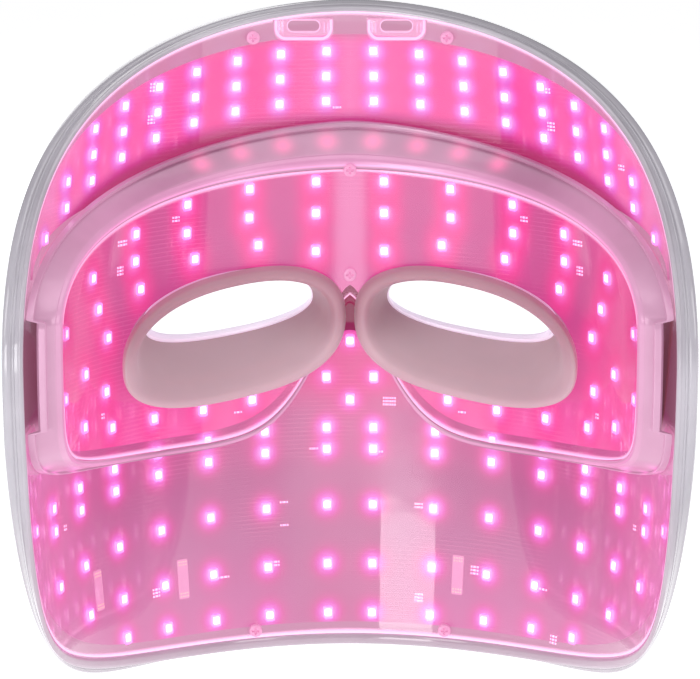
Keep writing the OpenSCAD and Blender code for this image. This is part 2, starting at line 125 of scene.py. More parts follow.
def heading(r, bulge, a):
    return np.arctan2((r + bulge) * np.sin(a * DEGREE), r * np.cos(a * DEGREE))


def placed(x_axis, y_axis, z_axis, place):
    m = Matrix((x_axis, y_axis, z_axis)).transposed().to_4x4()
    m.translation = place
    return m


def spot(r, bulge, a, z):
    """Matrix of a spot on a wall: local X along it, local Y down and local Z outward."""
    h = float(heading(r, bulge, a))
    along = Vector((math.cos(h), -math.sin(h), 0))
    outward = Vector((math.sin(h), math.cos(h), 0))
    return placed(along, Vector((0, 0, -1)), outward, Vector(wall(r, bulge, a, z)))


def flat_spot(r, bulge, a, z):
    """As spot, and leaning with the wall, so that a flat piece lies along it."""
    m = spot(r, bulge, a, z)
    step = 1e-4
    up = Vector(wall(r, bulge, a, z + step) - wall(r, bulge, a, z - step)).normalized()
    along = m.col[0].to_3d()
    return placed(along, -up, along.cross(-up), m.translation)


def spread(a_end, n, power=1.5):
    """Angles across a wall, closer together towards its ends."""
    u = np.linspace(-1, 1, 2 * n + 1)
    return np.sign(u) * a_end * (1 - (1 - np.abs(u)) ** power)


def end_angle(side):
    """Angle where the mask's edge turns at its sides, brought in by side."""
    return 90 - side * SIDE_DEGREES


def brow_edge(a, inset, side):
    return quarter(a, end_angle(side), BROW_H - inset, BROW_POWER)


def jaw_edge(a, inset, side, rounder=0.0):
    """Chin line: the shell's own where rounder is 0, and the liner's where it is 1."""
    a_end = end_angle(side)
    h = CHIN_H - SIDE_FLAT - inset
    own = h * (1 - np.minimum(1, np.abs(a) / a_end) ** JAW_POWER) ** JAW_ROUND
    return -SIDE_FLAT - mix(own, quarter(a, a_end, h, LINER_POWER), rounder)


# Meshes

def grid_faces(rows, columns, wrap_rows=False, wrap_columns=False, first=0):
    """Quads of a grid of vertices, numbered row by row."""
    i, j = np.meshgrid(np.arange(rows if wrap_rows else rows - 1),
                       np.arange(columns if wrap_columns else columns - 1), indexing="ij")
    i, j = i.ravel(), j.ravel()
    i2, j2 = (i + 1) % rows, (j + 1) % columns
    corners = [i * columns + j, i2 * columns + j, i2 * columns + j2, i * columns + j2]
    return np.stack(corners, -1) + first


def make_mesh(name, points, faces, indices=None):
    mesh = bpy.data.meshes.new(name)
    mesh.from_pydata(np.asarray(points, float).tolist(), [], [list(f) for f in faces])
    if indices is not None:
        mesh.polygons.foreach_set("material_index", np.asarray(indices, np.int32))
    mesh.validate()
    obj = bpy.data.objects.new(name, mesh)
    bpy.context.scene.collection.objects.link(obj)
    return obj


def outward_faces(obj, merge=True):
    """Turns the faces outward and, where merge is true, first joins vertices in one place."""
    bm = bmesh.new()
    bm.from_mesh(obj.data)
    if merge:
        bmesh.ops.remove_doubles(bm, verts=bm.verts, dist=1e-6)
        bmesh.ops.dissolve_degenerate(bm, dist=1e-7, edges=bm.edges)
    bmesh.ops.recalc_face_normals(bm, faces=bm.faces)
    bm.to_mesh(obj.data)
    bm.free()
    return obj


def apply_modifiers(obj):
    graph = bpy.context.evaluated_depsgraph_get()
    mesh = bpy.data.meshes.new_from_object(obj.evaluated_get(graph))
    obj.modifiers.clear()
    obj.data = mesh
    return obj


def bevel(obj, width, segments):
    m = obj.modifiers.new("bevel", "BEVEL")
    m.width = width
    m.segments = segments
    m.limit_method = "ANGLE"
    m.angle_limit = 50 * DEGREE
    return apply_modifiers(obj)


def cut(obj, cutters):
    """Takes the cutters out of obj."""
    for cutter in cutters:
        m = obj.modifiers.new("cut", "BOOLEAN")
        m.operation = "DIFFERENCE"
        m.solver = "EXACT"
        m.object = cutter
    apply_modifiers(obj)
    for cutter in cutters:
        bpy.data.objects.remove(cutter)


def slab(name, low, high, angles, r_out, r_in, bulge, rows):
    """Closed slab between two walls, from heights low to high at each angle."""
    share = np.linspace(0, 1, rows)
    z = mix(low[:, None], high[:, None], share[None, :])
    a = np.repeat(angles[:, None], rows, axis=1)
    outer = wall(r_out, bulge, a, z)
    inner = wall(r_in, bulge, a, z)
    n = len(angles) * rows
    faces = [grid_faces(len(angles), rows), grid_faces(len(angles), rows, first=n)]
    index = np.arange(n).reshape(len(angles), rows)
    border = np.concatenate([index[:, 0], index[-1, 1:], index[-2::-1, -1], index[0, -2:0:-1]])
    beyond = np.roll(border, -1)
    faces.append(np.stack([border, beyond, beyond + n, border + n], -1))
    points = np.concatenate([outer.reshape(-1, 3), inner.reshape(-1, 3)])
    return outward_faces(make_mesh(name, points, np.concatenate(faces)))


def loft(name, loops):
    """Closed skin through a list of loops of equal length, and from the last back to the first."""
    loops = np.asarray(loops)
    faces = grid_faces(loops.shape[0], loops.shape[1], True, True)
    return outward_faces(make_mesh(name, loops.reshape(-1, 3), faces))


def resample(points, n):
    """n points at even steps round a ring of points."""
    points = np.asarray(points, float)
    points = np.concatenate([points, points[:1]])
    steps = np.linalg.norm(np.diff(points, axis=0), axis=1)
    along = np.concatenate([[0], np.cumsum(steps)])
    wanted = np.linspace(0, along[-1], n, endpoint=False)
    return np.stack([np.interp(wanted, along, p) for p in points.T], -1)


def ring_faces(n, first=0):
    """Faces of a closed solid between two rings of n vertices that follow each other."""
    sides = [[i, (i + 1) % n, (i + 1) % n + n, i + n] for i in range(n)]
    ends = [list(range(n)), list(range(n, 2 * n))]
    return [[v + first for v in face] for face in sides + ends]


def two_rings(points):
    """Cutter between two rings of points that follow each other in one list."""
    return make_mesh("cutter", points, ring_faces(len(points) // 2))


def prism(outline, y0, y1):
    """Cutter: an outline of [x, z] points run along Y."""
    return outward_faces(two_rings([(x, y, z) for y in (y0, y1) for x, z in outline]))


def both_prisms(outline, y0, y1):
    """A prism for the wearer's right eye and its mirror image."""
    return [prism(outline, y0, y1), prism(outline[::-1] * (-1, 1), y0, y1)]


def turn(n):
    """n angles round a full turn, in radians."""
    return np.arange(n) * 2 * math.pi / n


def circle(r, n):
    return np.stack([r * np.cos(turn(n)), r * np.sin(turn(n))], -1)


def lathe(profile, n):
    """Points and faces of a profile of [radius, height] pairs turned about Z."""
    t = turn(n)
    profile = np.asarray(profile, float)
    points = np.stack([profile[:, None, 0] * np.cos(t), profile[:, None, 0] * np.sin(t),
                       np.repeat(profile[:, 1:2], n, axis=1)], -1)
    return points.reshape(-1, 3), grid_faces(len(profile), n, False, True)


def turned(name, profile, matrix, n):
    points, faces = lathe(profile, n)
    obj = make_mesh(name, points, faces)
    obj.data.transform(matrix)
    return outward_faces(obj)


def tube(path, radius, sides):
    """Points and faces of a round bar along an open path, with rounded ends."""
    path = np.asarray(path, float)
    ahead = np.gradient(path, axis=0)
    ahead /= np.linalg.norm(ahead, axis=1)[:, None]
    side = np.cross(ahead, [0.0, 1.0, 0.0])
    side /= np.linalg.norm(side, axis=1)[:, None]
    up = np.cross(side, ahead)
    t = turn(sides)
    r = np.full(len(path), radius)
    r[0] = r[-1] = radius * 0.1
    ring = side[:, None] * np.cos(t)[None, :, None] + up[:, None] * np.sin(t)[None, :, None]
    points = path[:, None] + ring * r[:, None, None]
    return points.reshape(-1, 3), grid_faces(len(path), sides, False, True)


def stamped(name, points, faces, indices, matrices):
    """One mesh of a small shape repeated at each matrix."""
    points = np.asarray(points, float)
    blocks = []
    for m in matrices:
        m = np.array(m)
        blocks.append(points @ m[:3, :3].T + m[:3, 3])
    all_faces = [[v + len(points) * k for v in f] for k in range(len(matrices)) for f in faces]
    return make_mesh(name, np.concatenate(blocks), all_faces, list(indices) * len(matrices))


def join_shapes(shapes):
    """One list of points and one of faces from several."""
    points, faces, start = [], [], 0
    for p, f in shapes:
        points.append(np.asarray(p, float))
        faces += [[int(v) + start for v in face] for face in f]
        start += len(p)
    return np.concatenate(points), faces


def add_piece(obj, materials, replaces=(), body="mask", crease=35):
    """Gives a piece its materials, smooth shading and body, and hides the CAD parts that it replaces.
    """
    for m in materials:
        obj.data.materials.append(m)
    obj.data.polygons.foreach_set("use_smooth", [True] * len(obj.data.polygons))
    obj.data.set_sharp_from_angle(angle=crease * DEGREE)
    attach(obj, body)
    if replaces:
        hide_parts(*replaces)
    return obj


def mesh_points(obj):
    co = np.empty(len(obj.data.vertices) * 3, np.float32)
    obj.data.vertices.foreach_get("co", co)
    return co.reshape(-1, 3).astype(float)


def edge_line(gap, width):
    """Share of a bright line along an edge, at a gap inside it."""
    return np.exp(-(np.maximum(gap, 0) / width) ** 2)


def set_glow(obj, colours, share=1.0):
    """Stores each vertex's light as a colour, and in its alpha how much of the surface it is."""
    layer = obj.data.attributes.new("glow", "FLOAT_COLOR", "POINT")
    colours = np.broadcast_to(colours, (len(obj.data.vertices), 3))
    share = np.broadcast_to(share, len(colours))[:, None]
    both = np.concatenate([colours, share], 1)
    layer.data.foreach_set("color", both.astype(np.float32).ravel())


# Light colours

def tone(r, g, b):
    """Linear colour of a tone given in 0 to 255."""
    c = np.array([r, g, b]) / 255
    return np.where(c <= 0.04045, c / 12.92, ((c + 0.055) / 1.055) ** 2.4)


PALE_VIOLET = tone(255, 214, 255)


def halo(points, lights, radius, strength, stretch=1.0, shift=(0.0, 0.0, 0.0), power=2):
    """How much of a halo round the lights each point has, from 0 to 1. A higher power gives it a
    flatter middle and a shorter fade."""
    left = np.ones(len(points))
    for light in np.asarray(lights) + np.asarray(shift):
        d = points - light
        d[:, 2] /= stretch
        left *= 1 - strength * np.exp(-((d ** 2).sum(1) / radius ** 2) ** (power / 2))
    return 1 - left


def paint(points, lights, base, halos):
    """Colour of each point: a base with halos of the lights laid over it in turn."""
    colour = base
    for target, *shape in halos:
        colour = lay(colour, target, halo(points, lights, *shape))
    return colour


def lay(colour, target, share):
    """Lays a tone over the points' colours, by a share for each point."""
    return mix(colour, target, share[:, None])


def blend_tones(share, *tones):
    """Colour along a row of tones as share goes from 0 to 1."""
    share = np.clip(share, 0, 1) * (len(tones) - 1)
    return np.stack([np.interp(share, range(len(tones)), [t[k] for t in tones])
                     for k in range(3)], -1)


# Materials

def add_node(tree, kind, inputs=None, **settings):
    made = tree.nodes.new("ShaderNode" + kind)
    for key, value in settings.items():
        setattr(made, key, value)
    for key, value in (inputs or {}).items():
        if isinstance(value, bpy.types.NodeSocket):
            tree.links.new(value, made.inputs[key])
        else:
            made.inputs[key].default_value = value
    return made


def new_material(name):
    material = bpy.data.materials.new(name)
    material.use_nodes = True
    material.node_tree.nodes.clear()
    return material, material.node_tree


def rgba(colour):
    return (float(colour[0]), float(colour[1]), float(colour[2]), 1.0)


def output(tree, surface):
    add_node(tree, "OutputMaterial", {"Surface": surface})


def noise(tree, scale, detail=3.0, rough=0.5):
    place = add_node(tree, "TexCoord").outputs["Object"]
    made = add_node(tree, "TexNoise", {"Vector": place, "Scale": scale, "Detail": detail,
                                       "Roughness": rough})
    return made.outputs["Fac"]


def remap(tree, value, low, high, start=0.3, stop=0.7):
    made = add_node(tree, "MapRange", {"Value": value, "From Min": start, "From Max": stop,
                                       "To Min": low, "To Max": high})
    return made.outputs["Result"]


def bump(tree, height, strength, distance):
    made = add_node(tree, "Bump", {"Height": height, "Strength": strength, "Distance": distance})
    return made.outputs["Normal"]


def maths(tree, operation, *values):
    return add_node(tree, "Math", dict(enumerate(values)), operation=operation).outputs[0]


def principled(tree, inputs):
    made = add_node(tree, "BsdfPrincipled", inputs)
    return made.outputs[0]


def shade_mix(tree, fac, a, b):
    """Colour between a and b by fac."""
    made = add_node(tree, "Mix", {"Factor": fac}, data_type="RGBA")
    for socket, value in ((made.inputs[6], a), (made.inputs[7], b)):
        if isinstance(value, bpy.types.NodeSocket):
            tree.links.new(value, socket)
        else:
            socket.default_value = rgba(value)
    return made.outputs[2]


def stored_light(tree):
    """The light stored on the mesh by set_glow."""
    return add_node(tree, "Attribute", attribute_name="glow").outputs


PATCHES = 60


def plastic(name, colour, rough=(0.22, 0.30), grain=700, grain_depth=0.00002, coat=0.0,
            metal=0.0, second=None, glow=False, sheen=0.0, subsurface=0.0):
    """Moulded plastic or rubber: a base colour with soft patches, fine grain in the bump and
    uneven roughness. With glow it also gives off the painted light stored on the mesh, and
    darkens its base towards a dark plum by the stored share, as painted shade."""
    material, tree = new_material(name)
    tint = shade_mix(tree, remap(tree, noise(tree, PATCHES), 0, 1), colour,
                     second if second is not None else np.array(colour) * 0.9)
    inputs = {
        "Base Color": tint, "Metallic": metal,
        "Roughness": remap(tree, noise(tree, PATCHES * 3), *rough),
        "Normal": bump(tree, noise(tree, grain, 4.0, 0.6), 0.5, grain_depth),
        "Coat Weight": coat, "Coat Roughness": 0.06,
        "Sheen Weight": sheen, "Subsurface Weight": subsurface, "Subsurface Scale": 0.002}
    if glow:
        stored = stored_light(tree)
        inputs["Emission Color"] = stored["Color"]
        inputs["Emission Strength"] = 1.0
        inputs["Base Color"] = shade_mix(tree, stored["Alpha"], tint, tone(60, 34, 46))
    output(tree, principled(tree, inputs))
    return material


def clear_plastic(name, tint, haze, haze_colour):
    """Clear plastic: it lets most light through, mirrors some, and has a thin haze and a light that
    its edges carry."""
    material, tree = new_material(name)
    see = add_node(tree, "BsdfTransparent", {"Color": rgba(tint)})
    ripple = bump(tree, noise(tree, 45, 2.0), 0.15, 0.0004)
    gloss = add_node(tree, "BsdfGlossy", {"Color": (1, 1, 1, 1), "Roughness": 0.04,
                                          "Normal": ripple})
    facing = add_node(tree, "LayerWeight", {"Blend": 0.5, "Normal": ripple}).outputs["Facing"]
    mirror = maths(tree, "MULTIPLY_ADD", maths(tree, "POWER", facing, 4.0), 0.75, 0.03)
    glass = add_node(tree, "MixShader", {0: mirror, 1: see.outputs[0], 2: gloss.outputs[0]})
    stored = stored_light(tree)
    dull = principled(tree, {
        "Base Color": rgba(haze_colour), "Roughness": 0.35,
        "Emission Color": stored["Color"], "Emission Strength": 1.0})
    cloud = remap(tree, noise(tree, 25, 3.0), haze * 0.6, haze * 1.4)
    cover = maths(tree, "MAXIMUM", cloud, stored["Alpha"])
    mixed = add_node(tree, "MixShader", {0: cover, 1: glass.outputs[0], 2: dull})
    output(tree, mixed.outputs[0])
    return material


def board_material():
    """Flexible white circuit sheet under its lights: fine copper traces and a weave in the bump,
    and the stored light."""
    material, tree = new_material("board_sheet")
    uv = add_node(tree, "UVMap", uv_map="sheet").outputs["UV"]
    lines = add_node(tree, "TexBrick", {
        "Vector": uv, "Scale": 1.0, "Mortar Size": 0.00016, "Mortar Smooth": 0.6,
        "Brick Width": 0.017, "Row Height": 0.0013, "Color1": (0, 0, 0, 1),
        "Color2": (0, 0, 0, 1), "Mortar": (1, 1, 1, 1)}, offset=0.37, squash=1.0)
    patches = remap(tree, noise(tree, 38, 2.0), 0, 1, 0.46, 0.62)
    trace = maths(tree, "MULTIPLY", lines.outputs["Color"], patches)
    faint = maths(tree, "MULTIPLY", trace, 0.09)
    light = shade_mix(tree, faint, stored_light(tree)["Color"], tone(250, 205, 232))
    cloudy = shade_mix(tree, remap(tree, noise(tree, 30, 3.0), 0, 0.04), light,
                       tone(235, 190, 215))
    tint = shade_mix(tree, trace, tone(52, 22, 38), tone(90, 50, 62))
    output(tree, principled(tree, {
        "Base Color": tint, "Roughness": remap(tree, noise(tree, 260), 0.35, 0.55),
        "Normal": bump(tree, trace, 0.4, 0.00005),
        "Emission Color": cloudy, "Emission Strength": 1.0}))
    return material


def lit(name, colour, strength, patch_colour):
    """A surface painted as lit: it gives off its own colour as light, in fine patches of two close
    colours.
    """
    material, tree = new_material(name)
    light = shade_mix(tree, remap(tree, noise(tree, 900), 0, 1), colour, patch_colour)
    output(tree, principled(tree, {
        "Base Color": light, "Roughness": remap(tree, noise(tree, 500), 0.3, 0.5),
        "Emission Color": light, "Emission Strength": strength}))
    return material


def brushed(name, colour, rough=(0.25, 0.42), stretch=(20, 20, 2500)):
    """Drawn or brushed metal with fine scratches along one way."""
    material, tree = new_material(name)
    place = add_node(tree, "TexCoord").outputs["Object"]
    run = add_node(tree, "Mapping", {"Vector": place, "Scale": stretch}).outputs["Vector"]
    made = add_node(tree, "TexNoise", {"Vector": run, "Scale": 3.0, "Detail": 4.0})
    grain = made.outputs["Fac"]
    tint = shade_mix(tree, grain, np.array(colour) * 0.8, colour)
    output(tree, principled(tree, {
        "Base Color": tint, "Metallic": 1.0, "Roughness": remap(tree, grain, *rough),
        "Normal": bump(tree, grain, 0.3, 0.00003)}))
    return material


shell_white = plastic("shell_white", tone(238, 235, 240), (0.14, 0.22), 900, 0.00001, 0.6,
                      second=tone(232, 228, 236), glow=True)
rim_clear = plastic("rim_silver", tone(178, 174, 182), (0.14, 0.20), 800, 0.000003, 1.0,
                    second=tone(190, 186, 194), glow=True)
liner_clear = clear_plastic("liner_clear", tone(255, 246, 251), 0.015, tone(215, 165, 190))
window_clear = clear_plastic("window_clear", tone(255, 242, 250), 0.015, tone(215, 150, 185))
pearl = plastic("pearl_pink", tone(172, 128, 152), (0.28, 0.34), 1400, 0.000002, 0.3, 0.2,
                tone(182, 140, 164), glow=True)
silicone = plastic("silicone_rose", tone(186, 142, 154), (0.50, 0.62), 2200, 0.000008,
                   second=tone(181, 137, 149), sheen=0.15, subsurface=0.12, glow=True)
lilac = plastic("ring_lilac", tone(244, 234, 248), (0.3, 0.4), 900, 0.00001, 0.2, glow=True)
board_sheet = board_material()
# Painted light: apart from the chips' emitters, which are lamps, these parts give off their colours as
# if lit by the lights round them.
chip_case = lit("chip_case", tone(250, 186, 255), 0.72, tone(246, 168, 252))
chip_light = lit("chip_light", tone(255, 255, 255), 1.4, tone(255, 246, 255))
chip_pad = lit("chip_pad", tone(250, 150, 240), 0.6, tone(255, 120, 205))
part_body = lit("part_body", tone(240, 160, 205), 0.7, tone(230, 140, 190))
part_pad = lit("part_pad", tone(255, 228, 244), 0.85, tone(255, 205, 235))
film = lit("jumper_film", tone(206, 150, 182), 0.48, tone(212, 158, 188))
joint_dot = lit("joint_dot", tone(238, 196, 170), 0.85, tone(232, 186, 166))
foil = brushed("battery_foil", tone(190, 194, 202), (0.3, 0.5), (900, 20, 20))
steel = brushed("steel", tone(190, 190, 196))
# Painted light: the screw heads give off a pink, as if lit by the lights round them.
screw_steel = lit("screw_steel", tone(206, 136, 174), 0.38, tone(216, 148, 184))
lead_red = plastic("lead_red", tone(170, 24, 28), (0.4, 0.55), 1800)
board_green = plastic("board_green", tone(22, 92, 52), (0.25, 0.4), 1200, second=tone(30, 112, 66))
chip_black = plastic("chip_black", tone(28, 28, 31), (0.4, 0.55), 2600)
ivory = plastic("socket_ivory", tone(232, 224, 200), (0.4, 0.5), 1500)
amber = plastic("flex_amber", tone(214, 140, 52), (0.25, 0.4), 900, second=tone(190, 112, 36))
button_white = plastic("button_white", tone(236, 234, 240), (0.3, 0.38), 1600, 0.00001)
light_clear = plastic("light_clear", tone(206, 238, 250), (0.08, 0.15), 700, 0.00001, 0.8)


# Where the lights are

# Rows of lights: height at the middle in millimetres, lights on each side and, in the jaw, droop
BROW_ROWS = [(78, 7), (70.5, 8), (63, 9), (52, 4)]
JAW_ROWS = [(-36.4, 8, 12), (-43, 7, 12), (-60, 7, 11), (-78, 6, 5), (-93, 5, -3.8)]
# Single lights: angle and height in millimetres, those of the goggle module for one side
NOSE_LIGHTS = [(0, -10), (0, -28), (4.5, -21), (-4.5, -21)]
GOGGLE_LIGHTS = [
    (7, 40), (21, 38.5), (35, 35.5), (48, 29), (61, 19), (72, 6),
    (7, 30.5), (21, 30), (35, 27), (48, 21), (59, 9.5), (64, -8),
    (7, 19), (19, 21.5), (33, 19), (46.5, 12.5), (56, 0.5), (57, -15),
    (73, -12.5), (65, -23), (55.5, -26), (43.5, -26.5), (31.5, -26.5), (20.5, -25)]


def both_sides(spots):
    return [(s * a, z / 1000) for a, z in spots for s in (1, -1)]


def brow_angle(i):
    return 9.4 * (i + 0.5) - 0.12 * (i + 0.5) ** 2


def jaw_angle(i):
    return 4.5 + 12.3 * i - 0.22 * i * i


def brow_droop(a):
    """How far a row of brow lights hangs down at angle a, in millimetres."""
    return 18.3 * (np.abs(a) / 57) ** 2.3


def brow_spots(rows):
    return both_sides([(brow_angle(i), z - brow_droop(brow_angle(i)))
                       for z, n in rows for i in range(n)])


def jaw_spots():
    spots = both_sides([(jaw_angle(i), z - drop * (jaw_angle(i) / 80) ** 2)
                        for z, n, drop in JAW_ROWS for i in range(n)])
    return spots + [(a, z / 1000) for a, z in NOSE_LIGHTS]


def light_places(spots, r, bulge):
    return np.array([wall(r, bulge, a, z) for a, z in spots])


brow_lights = brow_spots(BROW_ROWS)
jaw_lights = jaw_spots()
goggle_lights = both_sides(GOGGLE_LIGHTS)
brow_places = light_places(brow_lights, BOARD_R, BOARD_BULGE)
jaw_places = light_places(jaw_lights, BOARD_R, BOARD_BULGE)
goggle_places = light_places(goggle_lights, EYE_BOARD_R, LINER_BULGE)


# Shell and rim

# Eye outlines: centre x and z, half width, tilt, rise, drop and power
LIP_EGG = np.array([0.0331, -0.0032, 0.0318, -0.0038, 0.0184, 0.0196, 2.4])
HOLE_EGG = np.array([0.0357, 0.0010, 0.0240, -0.0026, 0.00864, 0.00736, 2.2])
CONTROL_A = 50
BUTTON_Z = 0.031
PORT_Z = 0.021
LIGHT_Z = 0.0395
BUTTON_HOLE_R = 0.0065
LIGHT_HOLE_R = 0.0011
PORT_SIZE = (0.0096, 0.0038, 0.00185)


def egg_outline(egg, grow, n):
    """Even points round an egg outline in X and Z."""
    x, z, half, tilt, rise, drop, power = egg
    t = np.arange(720) * math.pi / 360
    c = np.sign(np.cos(t)) * np.abs(np.cos(t)) ** (2 / power)
    s = np.sign(np.sin(t)) * np.abs(np.sin(t)) ** (2 / power)
    height = np.where(s > 0, rise, drop) + grow
    return resample(np.stack([x + (half + grow) * c, z + tilt * c + height * s], -1), n)


def hole_outline(grow, n=96):
    return egg_outline(HOLE_EGG, grow, n)


def cup_outline(t, grow, n=192):
    return egg_outline(mix(LIP_EGG, HOLE_EGG, t), grow, n)


def rounded_rect(w, h, r, n=96):
    """Even points round a rectangle with round corners."""
    t = np.arange(360) * DEGREE
    corner = np.stack([np.cos(t), np.sin(t)], -1)
    centre = np.sign(corner + 1e-9) * (w / 2 - r, h / 2 - r)
    return resample(centre + corner * r, n)


def control_cutter(outline, z):
    """Cutter: an outline in the own X and Y of the controls' spot at height z, run through the
    shell."""
    obj = two_rings([(x, y, depth) for depth in (-0.004, 0.006) for x, y in outline])
    obj.data.transform(control(z))
    return outward_faces(obj)


def control(z):
    return spot(SHELL_IN, SHELL_BULGE, CONTROL_A, z)


def shell_glow(points):
    """Painted light and shade on the shell's inner face: rose light near the edges, dark crimson
    behind the goggle module and near-black shade in the strap slots' hollows. The second value,
    1 on the inner face, darkens the base there as painted shade.
    """
    middle = np.exp(-(points[:, 0] / 0.060) ** 4 - ((points[:, 2] + 0.002) / 0.052) ** 4)
    colour = lay(tone(196, 146, 172), tone(128, 34, 70), middle)
    radius = np.hypot(points[:, 0] / SHELL_R, points[:, 1] / (SHELL_R + SHELL_BULGE))
    inside = (radius / lean(points[:, 2]) < 1 - 0.0012 / SHELL_R)[:, None]
    cavity = smooth((np.abs(points[:, 0]) - 0.080) / 0.006) * smooth((points[:, 2] + 0.024) / 0.006)
    cavity *= smooth((0.020 - points[:, 2]) / 0.006)
    colour = lay(colour, tone(78, 48, 59), cavity)
    return np.where(inside, colour, 0), inside[:, 0] * 1.0


def front_shell():
    inset = RIM_T + SEAM
    a = spread(end_angle(inset), 90)
    obj = slab("shell_moulding", jaw_edge(a, inset, inset), brow_edge(a, inset, inset), a, SHELL_R,
               SHELL_IN, SHELL_BULGE, 110)
    eye = hole_outline(0.0016)
    cut(obj, both_prisms(eye, 0.04, 0.12) + [
        control_cutter(circle(BUTTON_HOLE_R, 64), BUTTON_Z),
        control_cutter(rounded_rect(*PORT_SIZE), PORT_Z),
        control_cutter(circle(LIGHT_HOLE_R, 32), LIGHT_Z)])
    set_glow(obj, *shell_glow(mesh_points(obj)))
    return add_piece(obj, [shell_white], ["front_shell"])


def edge_loop(r, bulge, top, low, side, rounder):
    """Loop along the mask's edge on a wall of radius r, brought in by top, low and side."""
    a = spread(end_angle(side), 180)
    low_z, high_z = jaw_edge(a, low, side, rounder), brow_edge(a, top, side)
    up = np.linspace(0, 1, 9)[1:-1]
    end_a = np.full(len(up), a[-1])
    angles = np.concatenate([a, end_a, a[::-1], -end_a])
    heights = np.concatenate([low_z, mix(low_z[-1], high_z[-1], up), high_z[::-1],
                              mix(high_z[0], low_z[0], up)])
    return wall(r, bulge, angles, heights)


def bead(q, start, stop):
    """Height of a round bead that runs from start to stop across the rim's face."""
    return np.sqrt(np.maximum(0, 1 - ((2 * q - start - stop) / (stop - start)) ** 2))


# Beads across the rim's face: where each starts and stops, as shares of the face, and its height
RIM_BEADS = [(0.0, 0.44, 0.00062), (0.47, 0.62, 0.00050), (0.80, 0.98, 0.00042)]
RIM_STEPS = 46


def rim_profile():
    """Rim section as [side radius, bulge, top, low and side insets, share of the liner's line] from
    the shell round to the liner and back: a wide outer bead, a fine one, a groove and a lip."""
    q = np.linspace(0, 1, RIM_STEPS)
    rise = sum(h * bead(q, start, stop) for start, stop, h in RIM_BEADS)
    face = np.stack([mix(SHELL_R - 0.0003, LINER_R + 0.0004, q), mix(SHELL_BULGE, LINER_BULGE, q),
                     mix(0.00075, 0.00175, q) - rise, mix(0.00075, 0.0023, q) - rise,
                     mix(0.00075, 0.00055, q) - rise * 0.6, smooth(q)], -1)
    back = [[LINER_R, LINER_BULGE, 0.0023, 0.0030, 0.0008, 1],
            [LINER_R, LINER_BULGE, 0.0028, 0.0048, 0.0011, 1],
            [LINER_R + 0.0003, LINER_BULGE, 0.0029, 0.0052, 0.0012, 1],
            [LINER_R + LINER_T, LINER_BULGE, 0.0028, 0.0052, 0.0012, 1],
            [SHELL_IN, SHELL_BULGE, RIM_T, RIM_T, RIM_T, 0]]
    skirt = [[SHELL_R, SHELL_BULGE, d, d, d, 0] for d in (RIM_T, 0.0022, 0.0013)]
    return np.array(skirt + face.tolist() + back)


def rim_glow(points):
    """Painted pink light that the rim picks up from the liner, strongest low down and near its
    inner edge; low down its base is also darkened, as painted shade.
    """
    low = smooth((-0.02 - points[:, 2]) / 0.07)
    inner = smooth((LINER_R + 0.0022 - np.hypot(points[:, 0], points[:, 1]) / lean(points[:, 2])
                    * SHELL_R / (SHELL_R + 0.001)) / 0.003)
    return tone(235, 140, 190) * ((0.04 + 0.16 * low) * (0.3 + 0.7 * inner))[:, None], 0.30 * low


def rim_frame():
    obj = loft("rim_moulding", [edge_loop(*p) for p in rim_profile()])
    set_glow(obj, *rim_glow(mesh_points(obj)))
    return add_piece(obj, [rim_clear], ["rim_frame"], crease=60)


# Liner over the boards

SLOT_X = 0.0135
SLOT_Z = 0.086
SLOT_L = 0.0092
SLOT_H = 0.0032
OPENING_END = 81
LINER_END = 79.1
COVER_SCREW_A = 20
COVER_SCREW_Z = (0.083, -0.096)
SCREW_HOLE = 0.0012


def plate_outline(grow, n=144):
    """Tab outline in X and Z round its own slot: square at the top and round below."""
    w, h, r = 0.0087 + grow, 0.004 + grow, 0.003
    t = np.linspace(math.pi, 2 * math.pi, 90)
    low = np.stack([np.sign(np.cos(t)) * (w - r) + r * np.cos(t), -0.0004 - h + r + r * np.sin(t)], -1)
    points = np.concatenate([[[w, 0.0020]], [[-w, 0.0020]], low])
    return resample(points, n)


def liner_glow(points, inset):
    """Share of a point that the bright line along the liner's edge covers."""
    a = np.degrees(np.arctan2(points[:, 0] / LINER_R, points[:, 1] / (LINER_R + LINER_BULGE)))
    top = brow_edge(a, inset, LINER_SIDE) - points[:, 2]
    low = points[:, 2] - jaw_edge(a, inset, LINER_SIDE, 1)
    return edge_line(np.minimum(top, low), 0.0006)


def screw_place(z):
    x = float(wall(LINER_R, LINER_BULGE, COVER_SCREW_A, z)[0])
    return x, float(wall_y(LINER_R, LINER_BULGE, x, z))


def liner(name, low, high, a, inset, cutters, node):
    obj = slab(name, low, high, a, LINER_R + LINER_T, LINER_R, LINER_BULGE, 60)
    bevel(obj, 0.0003, 2)
    cut(obj, cutters)
    set_glow(obj, tone(250, 204, 240), 0.7 * liner_glow(mesh_points(obj), inset))
    return add_piece(obj, [liner_clear], [node])


def screw_cutters(z):
    x = screw_place(z)[0]
    return [prism(circle(SCREW_HOLE, 24) + (s * x, z), 0.05, 0.11) for s in (1, -1)]


def brow_cover():
    inset = 0.0030
    a = spread(87.5, 110)
    opening = 0.012 + quarter(a, OPENING_END, 0.042, 1.65)
    low = np.where(np.abs(a) < LINER_END, opening, np.maximum(opening, STRAP_TOP))
    high = np.maximum(brow_edge(a, inset, LINER_SIDE), low + 0.0002)
    plates = [prism(plate_outline(0.0002) * (s, 1) + (s * SLOT_X, SLOT_Z), 0.06, 0.10)
              for s in (1, -1)]
    return liner("brow_liner", low, high, a, inset, plates + screw_cutters(COVER_SCREW_Z[0]),
                 "brow_cover")


